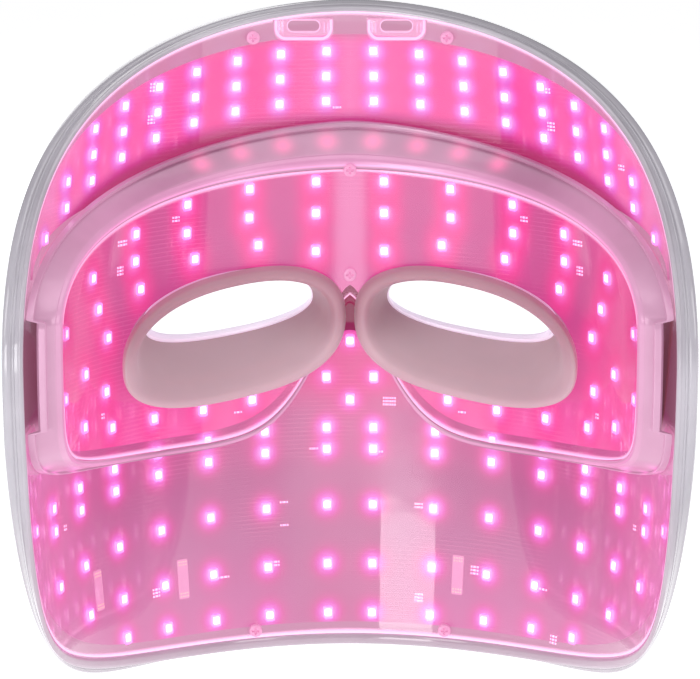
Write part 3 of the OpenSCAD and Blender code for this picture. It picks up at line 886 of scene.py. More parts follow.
def jaw_cover():
    inset = 0.0054
    a = spread(end_angle(LINER_SIDE), 110)
    opening = mix(-0.010 - quarter(a, OPENING_END, 0.025, 3), -0.008, np.exp(-(a / 12) ** 2))
    high = np.where(np.abs(a) < LINER_END, opening, np.minimum(opening, STRAP_LOW))
    low = jaw_edge(a, inset, LINER_SIDE, 1)
    return liner("jaw_liner", low, np.maximum(high, low + 0.0002), a, inset,
                 screw_cutters(COVER_SCREW_Z[1]), "jaw_cover")


def slot_plate(side, node):
    """Clear tab with a raised border, four fine ribs and a rimmed slot for a strap."""
    y0 = float(wall_y(LINER_R, LINER_BULGE, SLOT_X, SLOT_Z)) - 0.0006
    sections = [(plate_outline(0), y0 + 0.0024), (plate_outline(0), y0 + 0.0002),
                (plate_outline(-0.0003), y0)]
    slots = [(rounded_rect(SLOT_L + g, SLOT_H + g, (SLOT_H + g) / 2 - 1e-5, 144), y)
             for g, y in ((0.0006, y0), (0.0005, y0 - 0.0004), (0.0001, y0 - 0.0004),
                          (0.0, y0 - 0.0001), (0.0, y0 + 0.0024))]
    loops = []
    for outline, y in sections + slots:
        start = np.argmin(np.abs(np.degrees(np.arctan2(outline[:, 1], outline[:, 0]))))
        outline = np.roll(outline, -start, axis=0)
        if np.cross(outline[0], outline[8]) < 0:
            outline = np.roll(outline[::-1], 1, axis=0)
        loops.append([(x, y, z) for x, z in outline])
    shapes = [(np.array(loops).reshape(-1, 3), grid_faces(len(loops), 144, True, True))]
    border = plate_outline(-0.0007, 200)
    border = border[(border[:, 1] < 0.0019)]
    border = border[np.argsort(-np.arctan2(border[:, 0], -border[:, 1] - 0.0005))]
    shapes.append(tube([(x, y0 - 0.0001, z) for x, z in border], 0.00042, 12))
    for x in (-0.0071, -0.0060, 0.0060, 0.0071):
        shapes.append(tube([(x, y0, z) for z in np.linspace(-0.0022, 0.0012, 9)], 0.0002, 8))
    points, faces = join_shapes(shapes)
    points = points * (side, 1, 1) + (side * SLOT_X, 0, SLOT_Z)
    obj = outward_faces(make_mesh(node.replace("plate", "tab"), points, faces))
    co = mesh_points(obj)
    # Painted light: the tab glows faintly pink all over, and more strongly on its proud border, ribs
    # and slot rim.
    proud = smooth((y0 - 0.00005 - co[:, 1]) / 0.0003)
    set_glow(obj, tone(250, 190, 232), 0.14 + 0.45 * proud)
    return add_piece(obj, [liner_clear], [node], crease=50)


# Goggle module

GOGGLE_H = 0.0575
GOGGLE_DROP = 0.040
GOGGLE_END = 88
NOSE_W = 0.022
NOSE_TOP = 0.0025
WINDOW_TOP = 0.0135
WINDOW_LOW = 0.004
WINDOW_SIDE = 6
GOGGLE_LOW_POWER = 3.4
GOGGLE_SCREW_Z = (0.0125, 0.044)


def arch_share(a, low):
    """How far the nose arch lifts the goggle's lower edge, from 0 to 1."""
    arch = 960 * (NOSE_W / 2 + low / 10)
    return np.exp(-(np.abs(a) / arch) ** 1.5)


def top_power(top):
    return mix(1.5, 1.75, min(1, top / WINDOW_TOP))


def goggle_low(a, low, side):
    flat = -0.012 - quarter(a, GOGGLE_END - side, GOGGLE_DROP - 0.012 - low, GOGGLE_LOW_POWER)
    return mix(flat, NOSE_TOP + low, arch_share(a, low))


def goggle_high(a, top, side):
    return 0.012 + quarter(a, GOGGLE_END - side, GOGGLE_H - 0.012 - top, top_power(top))


def round_quarter(t, power):
    """Cosine-like and sine-like shares of a superellipse at angle t."""
    c, s = np.cos(t), np.sin(t)
    rho = (np.abs(c) ** power + np.abs(s) ** power) ** (-1 / power)
    return rho * c, rho * s


def goggle_loop(top, low, side):
    """[angle, height] round the goggle outline brought in by top, low and side degrees. Points
    with the same number lie over each other at every inset."""
    a_end = GOGGLE_END - side
    c, s = round_quarter(np.linspace(0, math.pi, 420), top_power(top))
    upper = np.stack([a_end * c, 0.012 + (GOGGLE_H - 0.012 - top) * s], -1)
    c, s = round_quarter(np.linspace(math.pi, 2 * math.pi, 420), GOGGLE_LOW_POWER)
    a = a_end * c
    flat = -0.012 + (GOGGLE_DROP - 0.012 - low) * s
    lower = np.stack([a, mix(flat, NOSE_TOP + low, arch_share(a, low))], -1)
    rise = np.linspace(0.012, -0.012, 24)[1:-1]
    left = np.stack([np.full(len(rise), -a_end), rise], -1)
    right = np.stack([np.full(len(rise), a_end), rise[::-1]], -1)
    return np.concatenate([upper, left, lower, right])


def even_steps():
    """Numbers of goggle_loop's points that give even steps round its outline, with extra ones
    where the strap notches start and stop."""
    outline = goggle_loop(0, 0, 0)
    places = wall(FRAME_R, LINER_BULGE, outline[:, 0], outline[:, 1])
    along = np.concatenate([[0], np.cumsum(np.linalg.norm(np.diff(places, axis=0), axis=1))])
    near = np.abs(outline[:, 0]) > 60
    notch = np.minimum(np.abs(outline[:, 1] - STRAP_LOW), np.abs(outline[:, 1] - STRAP_TOP))
    weight = 1 + 5 * np.exp(-(notch / 0.0022) ** 2) * near
    total = np.concatenate([[0], np.cumsum(np.diff(along) * (weight[1:] + weight[:-1]) / 2)])
    wanted = np.linspace(0, total[-1], 900, endpoint=False)
    return np.interp(wanted, total, np.arange(len(total)))


def picked(outline, numbers):
    index = np.arange(len(outline))
    return np.stack([np.interp(numbers, index, outline[:, k]) for k in (0, 1)], -1)


def notch_share(z):
    """1 between the ends of the strap notch and 0 outside it."""
    step = 0.0011
    return smooth((STRAP_TOP + step / 2 - z) / step) * smooth((z - STRAP_LOW + step / 2) / step)


# Section of the goggle frame: share of the way in from its outline to its shoulder, and from 1 to
# 2 on to its window; radius on the wearer's side, and how far the strap notch moves it in
FRAME_SECTION = [
    (0.000, 0.08860, 1.0), (0.000, 0.08700, 1.0), (0.010, 0.08672, 1.0), (0.030, 0.08660, 1.0),
    (0.080, 0.08655, 1.0), (0.135, 0.08655, 1.0), (0.152, 0.08666, 1.0), (0.160, 0.08700, 0.95),
    (0.168, 0.08745, 0.9), (0.185, 0.08752, 0.85), (0.205, 0.08730, 0.8), (0.30, 0.08640, 0.6),
    (0.42, 0.08515, 0.35), (0.55, 0.08370, 0.15), (0.66, 0.08235, 0.0), (0.735, 0.08150, 0.0),
    (0.765, 0.08118, 0.0), (0.785, 0.08108, 0.0), (0.82, 0.08070, 0.0), (0.88, 0.08012, 0.0),
    (0.94, 0.07978, 0.0), (1.00, 0.07970, 0.0), (1.30, 0.07964, 0.0), (1.70, 0.07964, 0.0),
    (1.92, 0.07968, 0.0), (2.00, 0.07985, 0.0), (2.00, 0.08080, 0.0), (1.60, 0.08110, 0.0),
    (1.00, 0.08120, 0.0), (0.90, 0.08160, 0.0), (0.60, 0.08450, 0.1), (0.30, 0.08790, 0.5),
    (0.17, 0.08860, 0.9), (0.04, 0.08862, 1.0)]
NOTCH_DEPTH = 0.0036


def frame_section():
    """The section with extra points between, smoothed a little."""
    section = np.array(FRAME_SECTION)
    fine = [section[:1]]
    for a, b in zip(section[:-1], section[1:]):
        fine.append(mix(a, b, np.linspace(0, 1, 4)[1:, None]))
    fine = np.concatenate(fine)
    for _ in range(2):
        fine[1:-1] = (fine[:-2] + 2 * fine[1:-1] + fine[2:]) / 4
    return fine


def frame_glow(points, section_share):
    """Painted light on the pearl frame, and how much of it covers the base: a faint pink all over,
    blurred spots of the brow lights behind it, glints low down, a mauve band next to the shoulder,
    brighter grey light on the sides and pink from the window along its shoulder; and dark crimson
    painted shade at the nose bridge, where the base is darkened too."""
    behind = brow_spots([BROW_ROWS[3]])
    spots = light_places(behind, 0.0845, LINER_BULGE)
    colour = np.repeat(tone(120, 66, 96)[None, :] * 0.35, len(points), 0)
    seen = halo(points, spots, 0.0028, 0.75)
    colour = lay(colour, tone(250, 84, 150) * 0.85, seen)
    low = np.array([wall(0.0872, LINER_BULGE, s * a, z) for s in (1, -1)
                    for a, z in ((74, -0.0335), (66, -0.0355), (80, -0.0300))])
    colour = lay(colour, tone(255, 120, 220), halo(points, low, 0.0024, 0.7))
    front = np.hypot(points[:, 0], points[:, 1]) < 0.0855
    mauve = smooth((section_share - 0.72) / 0.08) * smooth((1.15 - section_share) / 0.2) * front
    colour = lay(colour, tone(150, 84, 122), 0.6 * mauve)
    sides = smooth((np.abs(points[:, 0]) - 0.052) / 0.02)
    colour = lay(colour, tone(166, 122, 148), 0.6 * sides)
    high = 0.45 + 0.55 * smooth(points[:, 2] / 0.03)
    shoulder = high * np.exp(-((section_share - 1.25) / 0.30) ** 2)
    colour = lay(colour, tone(226, 140, 196), 0.9 * shoulder * front)
    nose = smooth((0.012 - np.abs(points[:, 0])) / 0.004) * smooth((0.016 - points[:, 2]) / 0.004)
    nose *= smooth((points[:, 2] + 0.010) / 0.006)
    return lay(colour, tone(140, 40, 76), nose), nose


def eye_frame():
    section = frame_section()
    numbers = even_steps()
    outer = picked(goggle_loop(0, 0, 0), numbers)
    inner = picked(goggle_loop(WINDOW_TOP - 0.0018, WINDOW_LOW - 0.0016, WINDOW_SIDE - 1.2), numbers)
    last = picked(goggle_loop(WINDOW_TOP - 0.0003, WINDOW_LOW - 0.0003, WINDOW_SIDE - 0.2), numbers)
    loops = []
    for share, r, moved in section:
        at = mix(mix(outer, inner, min(share, 1)), last, max(share - 1, 0))
        side = smooth((np.abs(at[:, 0]) - 55) / 15)
        r_here = r - NOTCH_DEPTH * moved * notch_share(at[:, 1]) * side
        loops.append(wall(r_here, LINER_BULGE, at[:, 0], at[:, 1]))
    loops = np.array(loops)
    faces = grid_faces(loops.shape[0], loops.shape[1], True, True)
    obj = make_mesh("goggle_frame", loops.reshape(-1, 3), faces)
    shares = np.repeat(section[:, 0], loops.shape[1])
    set_glow(obj, *frame_glow(loops.reshape(-1, 3), shares))
    outward_faces(obj, merge=False)
    return add_piece(obj, [pearl], ["eye_frame"], crease=60)


def seat_outline(grow):
    return cup_outline(0.42, grow, 160)


def eye_window():
    a = spread(GOGGLE_END - WINDOW_SIDE, 120, 1.6)
    obj = slab("goggle_window", goggle_low(a, WINDOW_LOW, WINDOW_SIDE),
               goggle_high(a, WINDOW_TOP, WINDOW_SIDE), a, WINDOW_R + WINDOW_T, WINDOW_R,
               LINER_BULGE, 60)
    bevel(obj, 0.00045, 3)
    seat = seat_outline(0.0005)
    cut(obj, both_prisms(seat, 0.02, 0.10)
        + [prism(circle(SCREW_HOLE, 24) + (0, z), 0.06, 0.10) for z in GOGGLE_SCREW_Z])
    co = mesh_points(obj)
    angle = np.degrees(np.arctan2(co[:, 0] / WINDOW_R, co[:, 1] / (WINDOW_R + LINER_BULGE)))
    gap = np.minimum(goggle_high(angle, WINDOW_TOP, WINDOW_SIDE) - co[:, 2],
                     co[:, 2] - goggle_low(angle, WINDOW_LOW, WINDOW_SIDE))
    # Painted light: a bright pink line along the window's edge.
    set_glow(obj, tone(255, 205, 240), 0.55 * edge_line(gap, 0.0004))
    return add_piece(obj, [window_clear], ["eye_window"])


# Section of an eyecup: share of the way from its lip outline to its far end, growth, radius
# and bulge of the wall that the loop lies on
CUP_SECTION = [
    (0.42, 0.0000, 0.0820, 0.001), (0.42, 0.0000, 0.0794, 0.001), (0.25, 0.0000, 0.0792, 0.001),
    (0.02, 0.0000, 0.0790, 0.001), (0.00, 0.0000, 0.0780, 0.001), (0.00, -0.0002, 0.0765, 0.001),
    (0.00, -0.0007, 0.0750, 0.001), (0.00, -0.0017, 0.0742, 0.001), (0.00, -0.0028, 0.0741, 0.001),
    (0.02, -0.0034, 0.0747, 0.001), (0.08, -0.0036, 0.0760, 0.001), (0.20, -0.0030, 0.0780, 0.001),
    (0.38, -0.0021, 0.0802, 0.002), (0.60, -0.0012, 0.0830, 0.004), (0.82, -0.0004, 0.0858, 0.006),
    (0.95, 0.0000, 0.0880, 0.007), (0.95, 0.0008, 0.0880, 0.007), (0.78, 0.0006, 0.0860, 0.006),
    (0.60, 0.0003, 0.0840, 0.003)]


def closed_curve(points, fine):
    """Smooth closed curve through a ring of points, with fine steps between each pair."""
    p = np.asarray(points, float)
    made = []
    for i in range(len(p)):
        p0, p1, p2, p3 = (p[(i + k) % len(p)] for k in (-1, 0, 1, 2))
        t = np.linspace(0, 1, fine, endpoint=False)[:, None]
        made.append(0.5 * (2 * p1 + (p2 - p0) * t + (2 * p0 - 5 * p1 + 4 * p2 - p3) * t ** 2
                           + (3 * p1 - p0 - 3 * p2 + p3) * t ** 3))
    return np.concatenate(made)


def on_wall(outline, side, r, bulge):
    """Loop of an outline in X and Z laid on a wall, on the side given."""
    y = wall_y(r, bulge, outline[:, 0], outline[:, 1])
    return np.stack([outline[:, 0] * side, y, outline[:, 1]], -1)


def eyecup(side, name, body):
    obj = loft(name, [on_wall(cup_outline(t, grow), side, r, bulge)
                      for t, grow, r, bulge in closed_curve(CUP_SECTION, 4)])
    # Painted light: a grey light given off, stronger towards the bottom of the cup, where its floor
    # faces the light above.
    low = smooth((0.003 - mesh_points(obj)[:, 2]) / 0.014)
    set_glow(obj, tone(186, 190, 192) * 0.28 * low[:, None], 0)
    return add_piece(obj, [silicone], [body], body, crease=70)


def eye_ring(side, node):
    section = [(0.0014, -0.0060), (0.0014, 0.0001), (0.0027, 0.0001), (0.0028, 0.0003),
               (0.0024, 0.0006), (0.0016, 0.0007), (0.0008, 0.0007), (0.0003, 0.0005),
               (0.0, 0.0), (0.0, -0.0020), (0.0, -0.0058), (0.0004, -0.0060)]
    loops = [on_wall(hole_outline(grow, 160), side, SHELL_R + out, SHELL_BULGE)
             for grow, out in section]
    obj = loft(node.replace("ring", "bezel"), loops)
    # Painted light: the ring gives off an even grey-lilac light.
    set_glow(obj, tone(158, 148, 162), 0)
    return add_piece(obj, [lilac], [node])


# Light boards

def sheet_uv(obj, r):
    """UV map in metres along and up the board."""
    co = mesh_points(obj)
    along = np.arctan2(co[:, 0], co[:, 1]) * r
    layer = obj.data.uv_layers.new(name="sheet")
    vertex = np.empty(len(obj.data.loops), np.int32)
    obj.data.loops.foreach_get("vertex_index", vertex)
    uv = np.stack([along[vertex], co[vertex, 2]], -1)
    layer.data.foreach_set("uv", uv.astype(np.float32).ravel())


def brow_glow(points):
    # Painted light on the brow board under halos of its lights: deep pink, paler in the middle and
    # towards the sides.
    a = angle_of(points)
    z = points[:, 2] + brow_droop(a) / 1000
    base = blend_tones(np.abs(a) / 64, tone(250, 138, 200), tone(252, 92, 172), tone(253, 94, 172),
                       tone(254, 124, 192), tone(254, 144, 204), tone(253, 156, 208))
    # Painted shade: greyer towards the top edge, under the rim.
    base = lay(base, tone(176, 128, 152), smooth((z - 0.0795) / 0.006))
    halos = [(tone(255, 92, 168), 0.0056, 0.60, 1.1, (0, 0, 0), 2.5),
             (tone(244, 140, 255), 0.0036, 0.94, 1.1, (0, 0, -0.0003), 4),
             (PALE_VIOLET, 0.0021, 0.80, 1.15, (0, 0, 0), 4)]
    colour = paint(points, brow_places, base, halos)
    # Painted shadow: a dark magenta band, then a darker crimson line, along the bottom edge above the
    # goggle frame.
    colour = lay(colour, tone(204, 74, 151), 0.75 * smooth((0.0620 - z) / 0.005))
    return lay(colour, tone(172, 40, 113), 0.85 * smooth((0.0595 - z) / 0.004))


def jaw_glow(points):
    a = angle_of(points)
    # Painted light on the jaw board under halos of its lights: darker and pinker towards the top,
    # paler down the middle, brighter pink at the sides.
    base = blend_tones((0.105 + points[:, 2]) / 0.075, tone(226, 150, 198), tone(203, 146, 186),
                       tone(187, 136, 172), tone(175, 118, 156), tone(184, 100, 152))
    base = lay(base, tone(196, 152, 180), 0.8 * np.exp(-(a / 13) ** 4))
    base = lay(base, tone(220, 145, 190), 0.8 * smooth((np.abs(a) - 48) / 24))
    halos = [(tone(236, 110, 170), 0.0085, 0.30, 1.0, (0, 0, 0), 2),
             (tone(252, 112, 184), 0.0045, 0.85, 1.0, (0, 0, 0), 3),
             (tone(248, 140, 250), 0.0033, 0.92, 1.05, (0, 0, 0), 4),
             (PALE_VIOLET, 0.0021, 0.78, 1.0, (0, 0, 0), 4)]
    colour = paint(points, jaw_places, base, halos)
    # Painted light: hot pink along the top edge, below the goggle module.
    return lay(colour, tone(240, 70, 150), 0.55 * smooth((points[:, 2] + 0.036) / 0.016))


def goggle_glow(points):
    a = angle_of(points)
    # Painted light on the goggle board under halos of its lights: brighter pink low down, paler down
    # its narrow middle and brighter pink at the sides.
    base = blend_tones((points[:, 2] + 0.03) / 0.07, tone(252, 120, 186), tone(220, 104, 162),
                       tone(206, 100, 158), tone(206, 108, 162), tone(211, 110, 163))
    base = lay(base, tone(237, 155, 198), np.exp(-(a / 3.4) ** 6))
    base = lay(base, tone(251, 119, 178), 0.9 * smooth((np.abs(a) - 50) / 16))
    halos = [(tone(255, 94, 168), 0.0056, 0.90, 1.4, (0, 0, -0.0006), 3.5),
             (tone(255, 125, 214), 0.0031, 0.85, 1.1, (0, 0, -0.0008), 4),
             (PALE_VIOLET, 0.0020, 0.75, 1.1, (0, 0, 0), 4)]
    return paint(points, goggle_places, base, halos)


# Light that the clear covers and the room add in front of the boards
VEIL = np.array([0.06, 0.075, 0.085])


def finish_board(obj, r, glow, node):
    set_glow(obj, np.maximum(glow(mesh_points(obj)) - VEIL, 0.004))
    sheet_uv(obj, r)
    return add_piece(obj, [board_sheet], [node])


def brow_board():
    a_end = 76
    a = spread(a_end, 130, 1.2)
    obj = slab("brow_light_sheet", 0.022 + quarter(a, a_end, 0.022, 2.2),
               0.024 + quarter(a, a_end, BROW_H - 0.034, 1.9), a, BOARD_R + BOARD_T, BOARD_R,
               BOARD_BULGE, 64)
    return finish_board(obj, BOARD_R, brow_glow, "brow_board")


def jaw_board():
    a_end = 84
    a = spread(a_end, 150, 1.2)
    low = -0.042 - (CHIN_H - 0.050) * np.maximum(0, 1 - (np.abs(a) / a_end) ** 5) ** 0.6
    obj = slab("jaw_light_sheet", low,
               -0.042 + quarter(a, a_end, 0.013, 2.6) + 0.022 * np.exp(-(a / 10) ** 2), a,
               BOARD_R + BOARD_T, BOARD_R, BOARD_BULGE, 80)
    return finish_board(obj, BOARD_R, jaw_glow, "jaw_board")


def eye_board():
    side = WINDOW_SIDE + 2
    a = spread(GOGGLE_END - side, 130, 1.3)
    obj = slab("goggle_light_sheet", goggle_low(a, WINDOW_LOW + 0.002, side),
               goggle_high(a, WINDOW_TOP + 0.001, side), a, EYE_BOARD_R + BOARD_T, EYE_BOARD_R,
               LINER_BULGE, 80)
    seat = seat_outline(0.0014)
    cut(obj, both_prisms(seat, 0.02, 0.10))
    return finish_board(obj, EYE_BOARD_R, goggle_glow, "eye_board")


def chip_outline(w, h, r, notch):
    """Rounded rectangle with one corner cut off."""
    outline = rounded_rect(w, h, r, 32)
    reach = outline @ np.array([-1.0, 1.0]) - (w + h) / 2 + notch
    return outline - np.clip(reach, 0, None)[:, None] * np.array([-0.5, 0.5])


def chip_shape():
    """A light chip: moulded case with a cut corner, a cup round its emitter and two end pads.
    Local Z goes from its lit face back to the board."""
    w, l, t = CHIP_W, CHIP_L, CHIP_T
    loops = [(chip_outline(w, l, 0.0002, 0.0005), t), (chip_outline(w, l, 0.0002, 0.0005), 0.0001),
             (chip_outline(w - 0.0002, l - 0.0002, 0.0002, 0.0005), 0.0),
             (chip_outline(w - 0.0003, l - 0.0010, 0.0005, 0.0004), 0.0),
             (chip_outline(w - 0.0007, l - 0.0013, 0.0005, 0.0003), 0.00025),
             (chip_outline(w * 0.35, l * 0.35, 0.0003, 0.0), 0.00012)]
    n = len(loops[0][0])
    points = [(x, y, z) for outline, z in loops for x, y in outline]
    faces = grid_faces(len(loops), n, False, True).tolist()
    indices = [0] * (3 * n) + [0] * n + [1] * n
    points.append((0, 0, 0.00010))
    faces += [[(len(loops) - 1) * n + i, (len(loops) - 1) * n + (i + 1) % n, len(points) - 1]
              for i in range(n)]
    indices += [1] * n
    for s in (-1, 1):
        start = len(points)
        x, y0, y1 = w * 0.34, s * l / 2 * 0.98, s * (l / 2 + 0.0003)
        points += [(sx * x, y, z) for z in (t * 0.55, t * 0.98) for y in (y0, y1) for sx in (-1, 1)]
        box = [(0, 1, 3, 2), (4, 6, 7, 5), (0, 4, 5, 1), (2, 3, 7, 6), (0, 2, 6, 4), (1, 5, 7, 3)]
        faces += [[v + start for v in f] for f in box]
        indices += [2] * len(box)
    return points, faces, indices


def chips(name, node, spots, r, bulge):
    points, faces, indices = chip_shape()
    places = [flat_spot(r - 0.0002 - CHIP_T, bulge, a, z) for a, z in spots]
    obj = stamped(name, points, faces, indices, places)
    outward_faces(obj, merge=False)
    return add_piece(obj, [chip_case, chip_light, chip_pad], [node])


def resistor_shape():
    """A surface-mount resistor: a body between two brighter and thicker end caps."""
    points, faces, indices = [], [], []
    for x0, x1, t, index in ((-0.00055, -0.00030, 0.00034, 1), (-0.00030, 0.00030, 0.00030, 0),
                             (0.00030, 0.00055, 0.00034, 1)):
        start = len(points)
        h = 0.00028
        ring = [(-h, 0.0), (-h, -t + 0.00006), (-h + 0.00006, -t), (h - 0.00006, -t),
                (h, -t + 0.00006), (h, 0.0)]
        points += [(x, y, z) for x in (x0, x1) for y, z in ring]
        faces += ring_faces(6, start)
        indices += [index] * 8
    return points, faces, indices


COLUMN_STEP = 0.00135
ROW_STEP = 0.0010
# Groups of resistors beside some lights: angle, height in millimetres, rows and columns
BROW_GROUPS = [(-41, 70, 3, 2), (41, 69, 2, 2), (-41, 60.5, 3, 2), (41.5, 58.5, 3, 2),
               (-2.5, 61, 1, 2), (4, 61.5, 1, 1), (60, 50, 2, 2)]
JAW_GROUPS = [(7.5, -28.5, 3, 3), (5.5, -44, 1, 2), (-7, -43, 1, 2), (-13, -59, 1, 2),
              (-13, -66, 1, 2), (13.5, -60, 2, 2), (-15, -77.5, 2, 2), (14, -88, 3, 2),
              (-26, -80, 1, 3), (-41.5, -81, 3, 2), (25.5, -78, 3, 2), (41, -80, 1, 3),
              (45, -94, 3, 2), (66, -53, 2, 1), (-66, -53, 2, 1)]
GOGGLE_GROUPS = [(37.5, 31.5, 2, 2), (-37.5, 31.5, 2, 2), (51.5, 27, 2, 3), (-51.5, 27, 2, 3),
                 (52, 19, 3, 2), (-52, 19, 3, 2), (23.5, -28.5, 1, 2), (-23.5, -28.5, 1, 2),
                 (58, -22, 2, 1), (-58, -22, 2, 1)]


def group_places(groups, r, bulge):
    """A matrix for each resistor of each group."""
    places = []
    for a, z, rows, columns in groups:
        for i in range(rows):
            for j in range(columns):
                at = a + (j - (columns - 1) / 2) * COLUMN_STEP / BOARD_R / DEGREE
                up = z / 1000 + (i - (rows - 1) / 2) * ROW_STEP
                places.append(flat_spot(r - 0.00002, bulge, at, up))
    return places


def resistors(name, groups, r, bulge):
    points, faces, indices = resistor_shape()
    obj = stamped(name, points, faces, indices, group_places(groups, r, bulge))
    return add_piece(obj, [part_body, part_pad])


def jumpers():
    """Flat film links with two rows of solder dots at each end."""
    film_outline = rounded_rect(0.0036, 0.012, 0.0004, 64)
    inset = rounded_rect(0.0034, 0.0118, 0.0003, 64)
    points = [(x, y, z) for outline, z in ((film_outline, 0.00004), (film_outline, -0.00020),
                                           (inset, -0.00028)) for x, y in outline]
    faces = grid_faces(3, 64, False, True).tolist()
    faces.append([128 + i for i in range(64)])
    indices = [0] * len(faces)
    for x in np.linspace(-0.0012, 0.0012, 4):
        for y in (-0.0052, -0.0043, 0.0043, 0.0052):
            dot, dot_faces = lathe([(0.00026, -0.00024), (0.00022, -0.00034), (0.00011, -0.00042),
                                    (0.00001, -0.00044)], 10)
            faces += [[v + len(points) for v in f] for f in dot_faces.tolist()]
            points += (dot + (x, y, 0)).tolist()
            indices += [1] * len(dot_faces)
    places = [flat_spot(BOARD_R - 0.0003, BOARD_BULGE, a, z)
              for a, z in ((-35, -0.0785), (-57, -0.075), (22, -0.080))]
    obj = stamped("jumper_films", points, faces, indices, places)
    return add_piece(obj, [film, joint_dot], ["jaw_jumpers"])


# Controls and fasteners

def power_button():
    """Cap with a shallow dish and a raised ring, its flange and its stem."""
    top = 0.0032
    profile = [(0.00001, top - 0.00035), (0.0018, top - 0.00032), (0.0019, top - 0.00018),
               (0.0022, top - 0.00018), (0.0023, top - 0.00030), (0.0034, top - 0.00012),
               (0.0042, top), (0.0046, top - 0.00005), (0.0049, top - 0.0003), (0.0050, top - 0.0007),
               (0.0050, -0.0005), (0.0061, -0.0005), (0.0061, -0.0013), (0.0017, -0.0013),
               (0.0017, -0.0022), (0.00001, -0.0022)]
    obj = turned("button_cap", profile, control(BUTTON_Z), 96)
    return add_piece(obj, [button_white], ["power_button"], "power_button")


def button_ring():
    section = [(0.0054, -0.0002), (0.0064, -0.0002), (0.0064, 0.0023), (0.0063, 0.0026),
               (0.0060, 0.00285), (0.0057, 0.0028), (0.00545, 0.0026), (0.0054, 0.0023)]
    points = lathe(section, 96)[0]
    obj = make_mesh("button_bezel", points, grid_faces(len(section), 96, True, True))
    obj.data.transform(control(BUTTON_Z))
    return add_piece(outward_faces(obj), [steel], ["button_ring"], crease=50)


def status_light():
    profile = [(0.00001, 0.0022), (0.0003, 0.00218), (0.0006, 0.00208), (0.0009, 0.00185),
               (0.0010, 0.0016), (0.0010, -0.0025), (0.00001, -0.0025)]
    obj = turned("status_lens", profile, control(LIGHT_Z), 40)
    return add_piece(obj, [light_clear], ["status_light"])


def screw_shape(head_r, head_t, shaft_r, length):
    """Round head with a cross recess and a plain shaft. Local Z goes down the shaft."""
    n = 96
    rings = 22
    t = turn(n)
    r = np.linspace(0.02, 1, rings) * (head_r - 0.0002)
    x, y = r[:, None] * np.cos(t), r[:, None] * np.sin(t)
    half = head_r * 0.13
    reach = head_r * 0.60
    arm_x = smooth((half * 1.5 - np.abs(y)) / half) * smooth((reach - np.abs(x)) / half)
    arm_y = smooth((half * 1.5 - np.abs(x)) / half) * smooth((reach - np.abs(y)) / half)
    dome = 0.00018 * (r[:, None] / head_r) ** 2
    z = dome + 0.42 * head_t * np.maximum(arm_x, arm_y)
    top = np.stack([x, y, z], -1)
    edge = [(head_r - 0.00005, 0.00028), (head_r, 0.0004), (head_r, head_t), (shaft_r, head_t),
            (shaft_r, head_t + length - 0.0004), (shaft_r * 0.6, head_t + length)]
    rest = lathe(edge, n)[0].reshape(len(edge), n, 3)
    loops = np.concatenate([top, rest])
    faces = grid_faces(len(loops), n, False, True).tolist()
    faces += [list(range(n)), [(len(loops) - 1) * n + i for i in range(n)]]
    return loops.reshape(-1, 3), faces


def screws(name, node, places, length):
    points, faces = screw_shape(0.0019, 0.0012, 0.0008, length)
    matrices = [placed(Vector((1, 0, 0)), Vector((0, 0, -1)), Vector((0, 1, 0)), Vector(p))
                for p in places]
    obj = stamped(name, points, faces, [0] * len(faces), matrices)
    outward_faces(obj, merge=False)
    return add_piece(obj, [screw_steel], [node], crease=40)


def all_screws():
    cover = []
    for z in COVER_SCREW_Z:
        x, y = screw_place(z)
        cover += [(s * x, y - 0.0021, z) for s in (1, -1)]
    screws("liner_screws", "cover_screws", cover, 0.005)
    goggle = [(0, float(wall_y(WINDOW_R, LINER_BULGE, 0, z)) - 0.00125, z) for z in GOGGLE_SCREW_Z]
    screws("window_screws", "goggle_screws", goggle, 0.008)


def carried_over():
    """Better materials for the CAD nodes whose shape is right."""
    finishes = {
        "battery": foil, "battery_lead": lead_red, "control_board": board_green,
        "main_chip": chip_black, "tact_switch": chip_black, "usb_c_socket": steel,
        "board_sockets": ivory, "flex_tails": amber, "board_screws": steel}
    for node, material in finishes.items():
        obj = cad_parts[node]
        obj.data.materials.clear()
        obj.data.materials.append(material)


# Stage, light and camera

def area_light(name, place, aim, size, power):
    data = bpy.data.lights.new(name, "AREA")
    data.shape = "RECTANGLE"
    data.size, data.size_y = size
    data.energy = power
    obj = bpy.data.objects.new(name, data)
    obj.location = place
    obj.rotation_euler = (Vector(aim) - Vector(place)).to_track_quat("-Z", "Y").to_euler()
    bpy.context.scene.collection.objects.link(obj)


def stage():
    floor_z = -CHIN_H - 0.11
    obj = make_mesh("floor", [(-9, -9, floor_z), (9, -9, floor_z), (9, 9, floor_z),
                              (-9, 9, floor_z)], [(0, 1, 2, 3)])
    material, tree = new_material("floor_pale")
    tint = shade_mix(tree, noise(tree, 3), tone(250, 250, 251), tone(246, 246, 248))
    output(tree, principled(tree, {
        "Base Color": tint, "Roughness": 0.9, "Emission Color": tint, "Emission Strength": 0.74}))
    obj.data.materials.append(material)


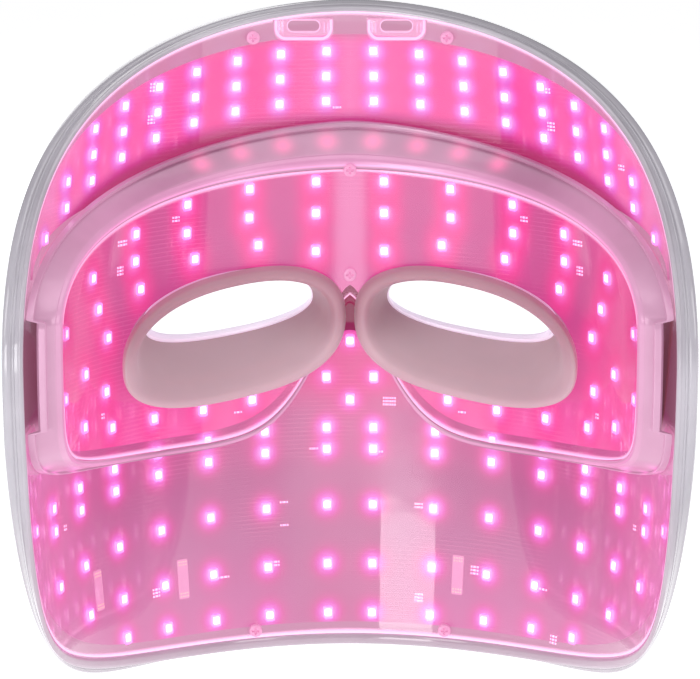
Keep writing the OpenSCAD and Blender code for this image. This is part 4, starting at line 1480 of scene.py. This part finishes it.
def studio():
    world = bpy.data.worlds.new("studio")
    bpy.context.scene.world = world
    world.use_nodes = True
    world.node_tree.nodes["Background"].inputs["Color"].default_value = (0.80, 0.80, 0.83, 1)
    world.node_tree.nodes["Background"].inputs["Strength"].default_value = 0.38
    area_light("overhead", (0.1, -0.3, 1.5), (0, 0.05, 0), (1.2, 1.0), 6)
    area_light("strip", (-0.55, -1.30, -0.02), (0, 0.06, -0.03), (0.55, 0.50), 4)
    area_light("right_front", (0.8, -0.9, 0.55), (0, 0.05, 0), (0.4, 0.6), 2.2)
    area_light("left_front", (-0.8, -0.9, 0.55), (0, 0.05, 0), (0.4, 0.6), 2.2)
    area_light("back", (-0.6, 1.6, 0.8), (0, 0.08, 0), (1.0, 1.0), 4)
    bpy.context.scene.view_settings.view_transform = "Standard"


def camera():
    """Looks at the wearing side from a little above the eyes."""
    data = bpy.data.cameras.new("camera")
    data.lens = 170.5
    data.sensor_width = 36
    obj = bpy.data.objects.new("camera", data)
    distance = 0.900
    elevation = 12 * DEGREE
    aim = Vector((0, 0, 0.010))
    back = Vector((0, -math.cos(elevation), math.sin(elevation)))
    obj.location = aim + back * distance
    obj.rotation_euler = (-back).to_track_quat("-Z", "Y").to_euler()
    bpy.context.scene.collection.objects.link(obj)
    bpy.context.scene.camera = obj


HANDS = [(1, "right"), (-1, "left")]
camera()
studio()
stage()
front_shell()
rim_frame()
brow_cover()
jaw_cover()
for side, hand in HANDS:
    slot_plate(side, hand + "_slot_plate")
eye_frame()
eye_window()
for side, hand in HANDS:
    eyecup(side, hand + "_cup", hand + "_eyecup")
for side, hand in HANDS:
    eye_ring(side, hand + "_eye_ring")
brow_board()
jaw_board()
eye_board()
chips("brow_chips", "brow_leds", brow_lights, BOARD_R, BOARD_BULGE)
chips("jaw_chips", "jaw_leds", jaw_lights, BOARD_R, BOARD_BULGE)
chips("goggle_chips", "eye_leds", goggle_lights, EYE_BOARD_R, LINER_BULGE)
resistors("brow_resistors", BROW_GROUPS, BOARD_R, BOARD_BULGE)
resistors("jaw_resistors", JAW_GROUPS, BOARD_R, BOARD_BULGE)
resistors("goggle_resistors", GOGGLE_GROUPS, EYE_BOARD_R, LINER_BULGE)
jumpers()
power_button()
button_ring()
status_light()
all_screws()
carried_over()
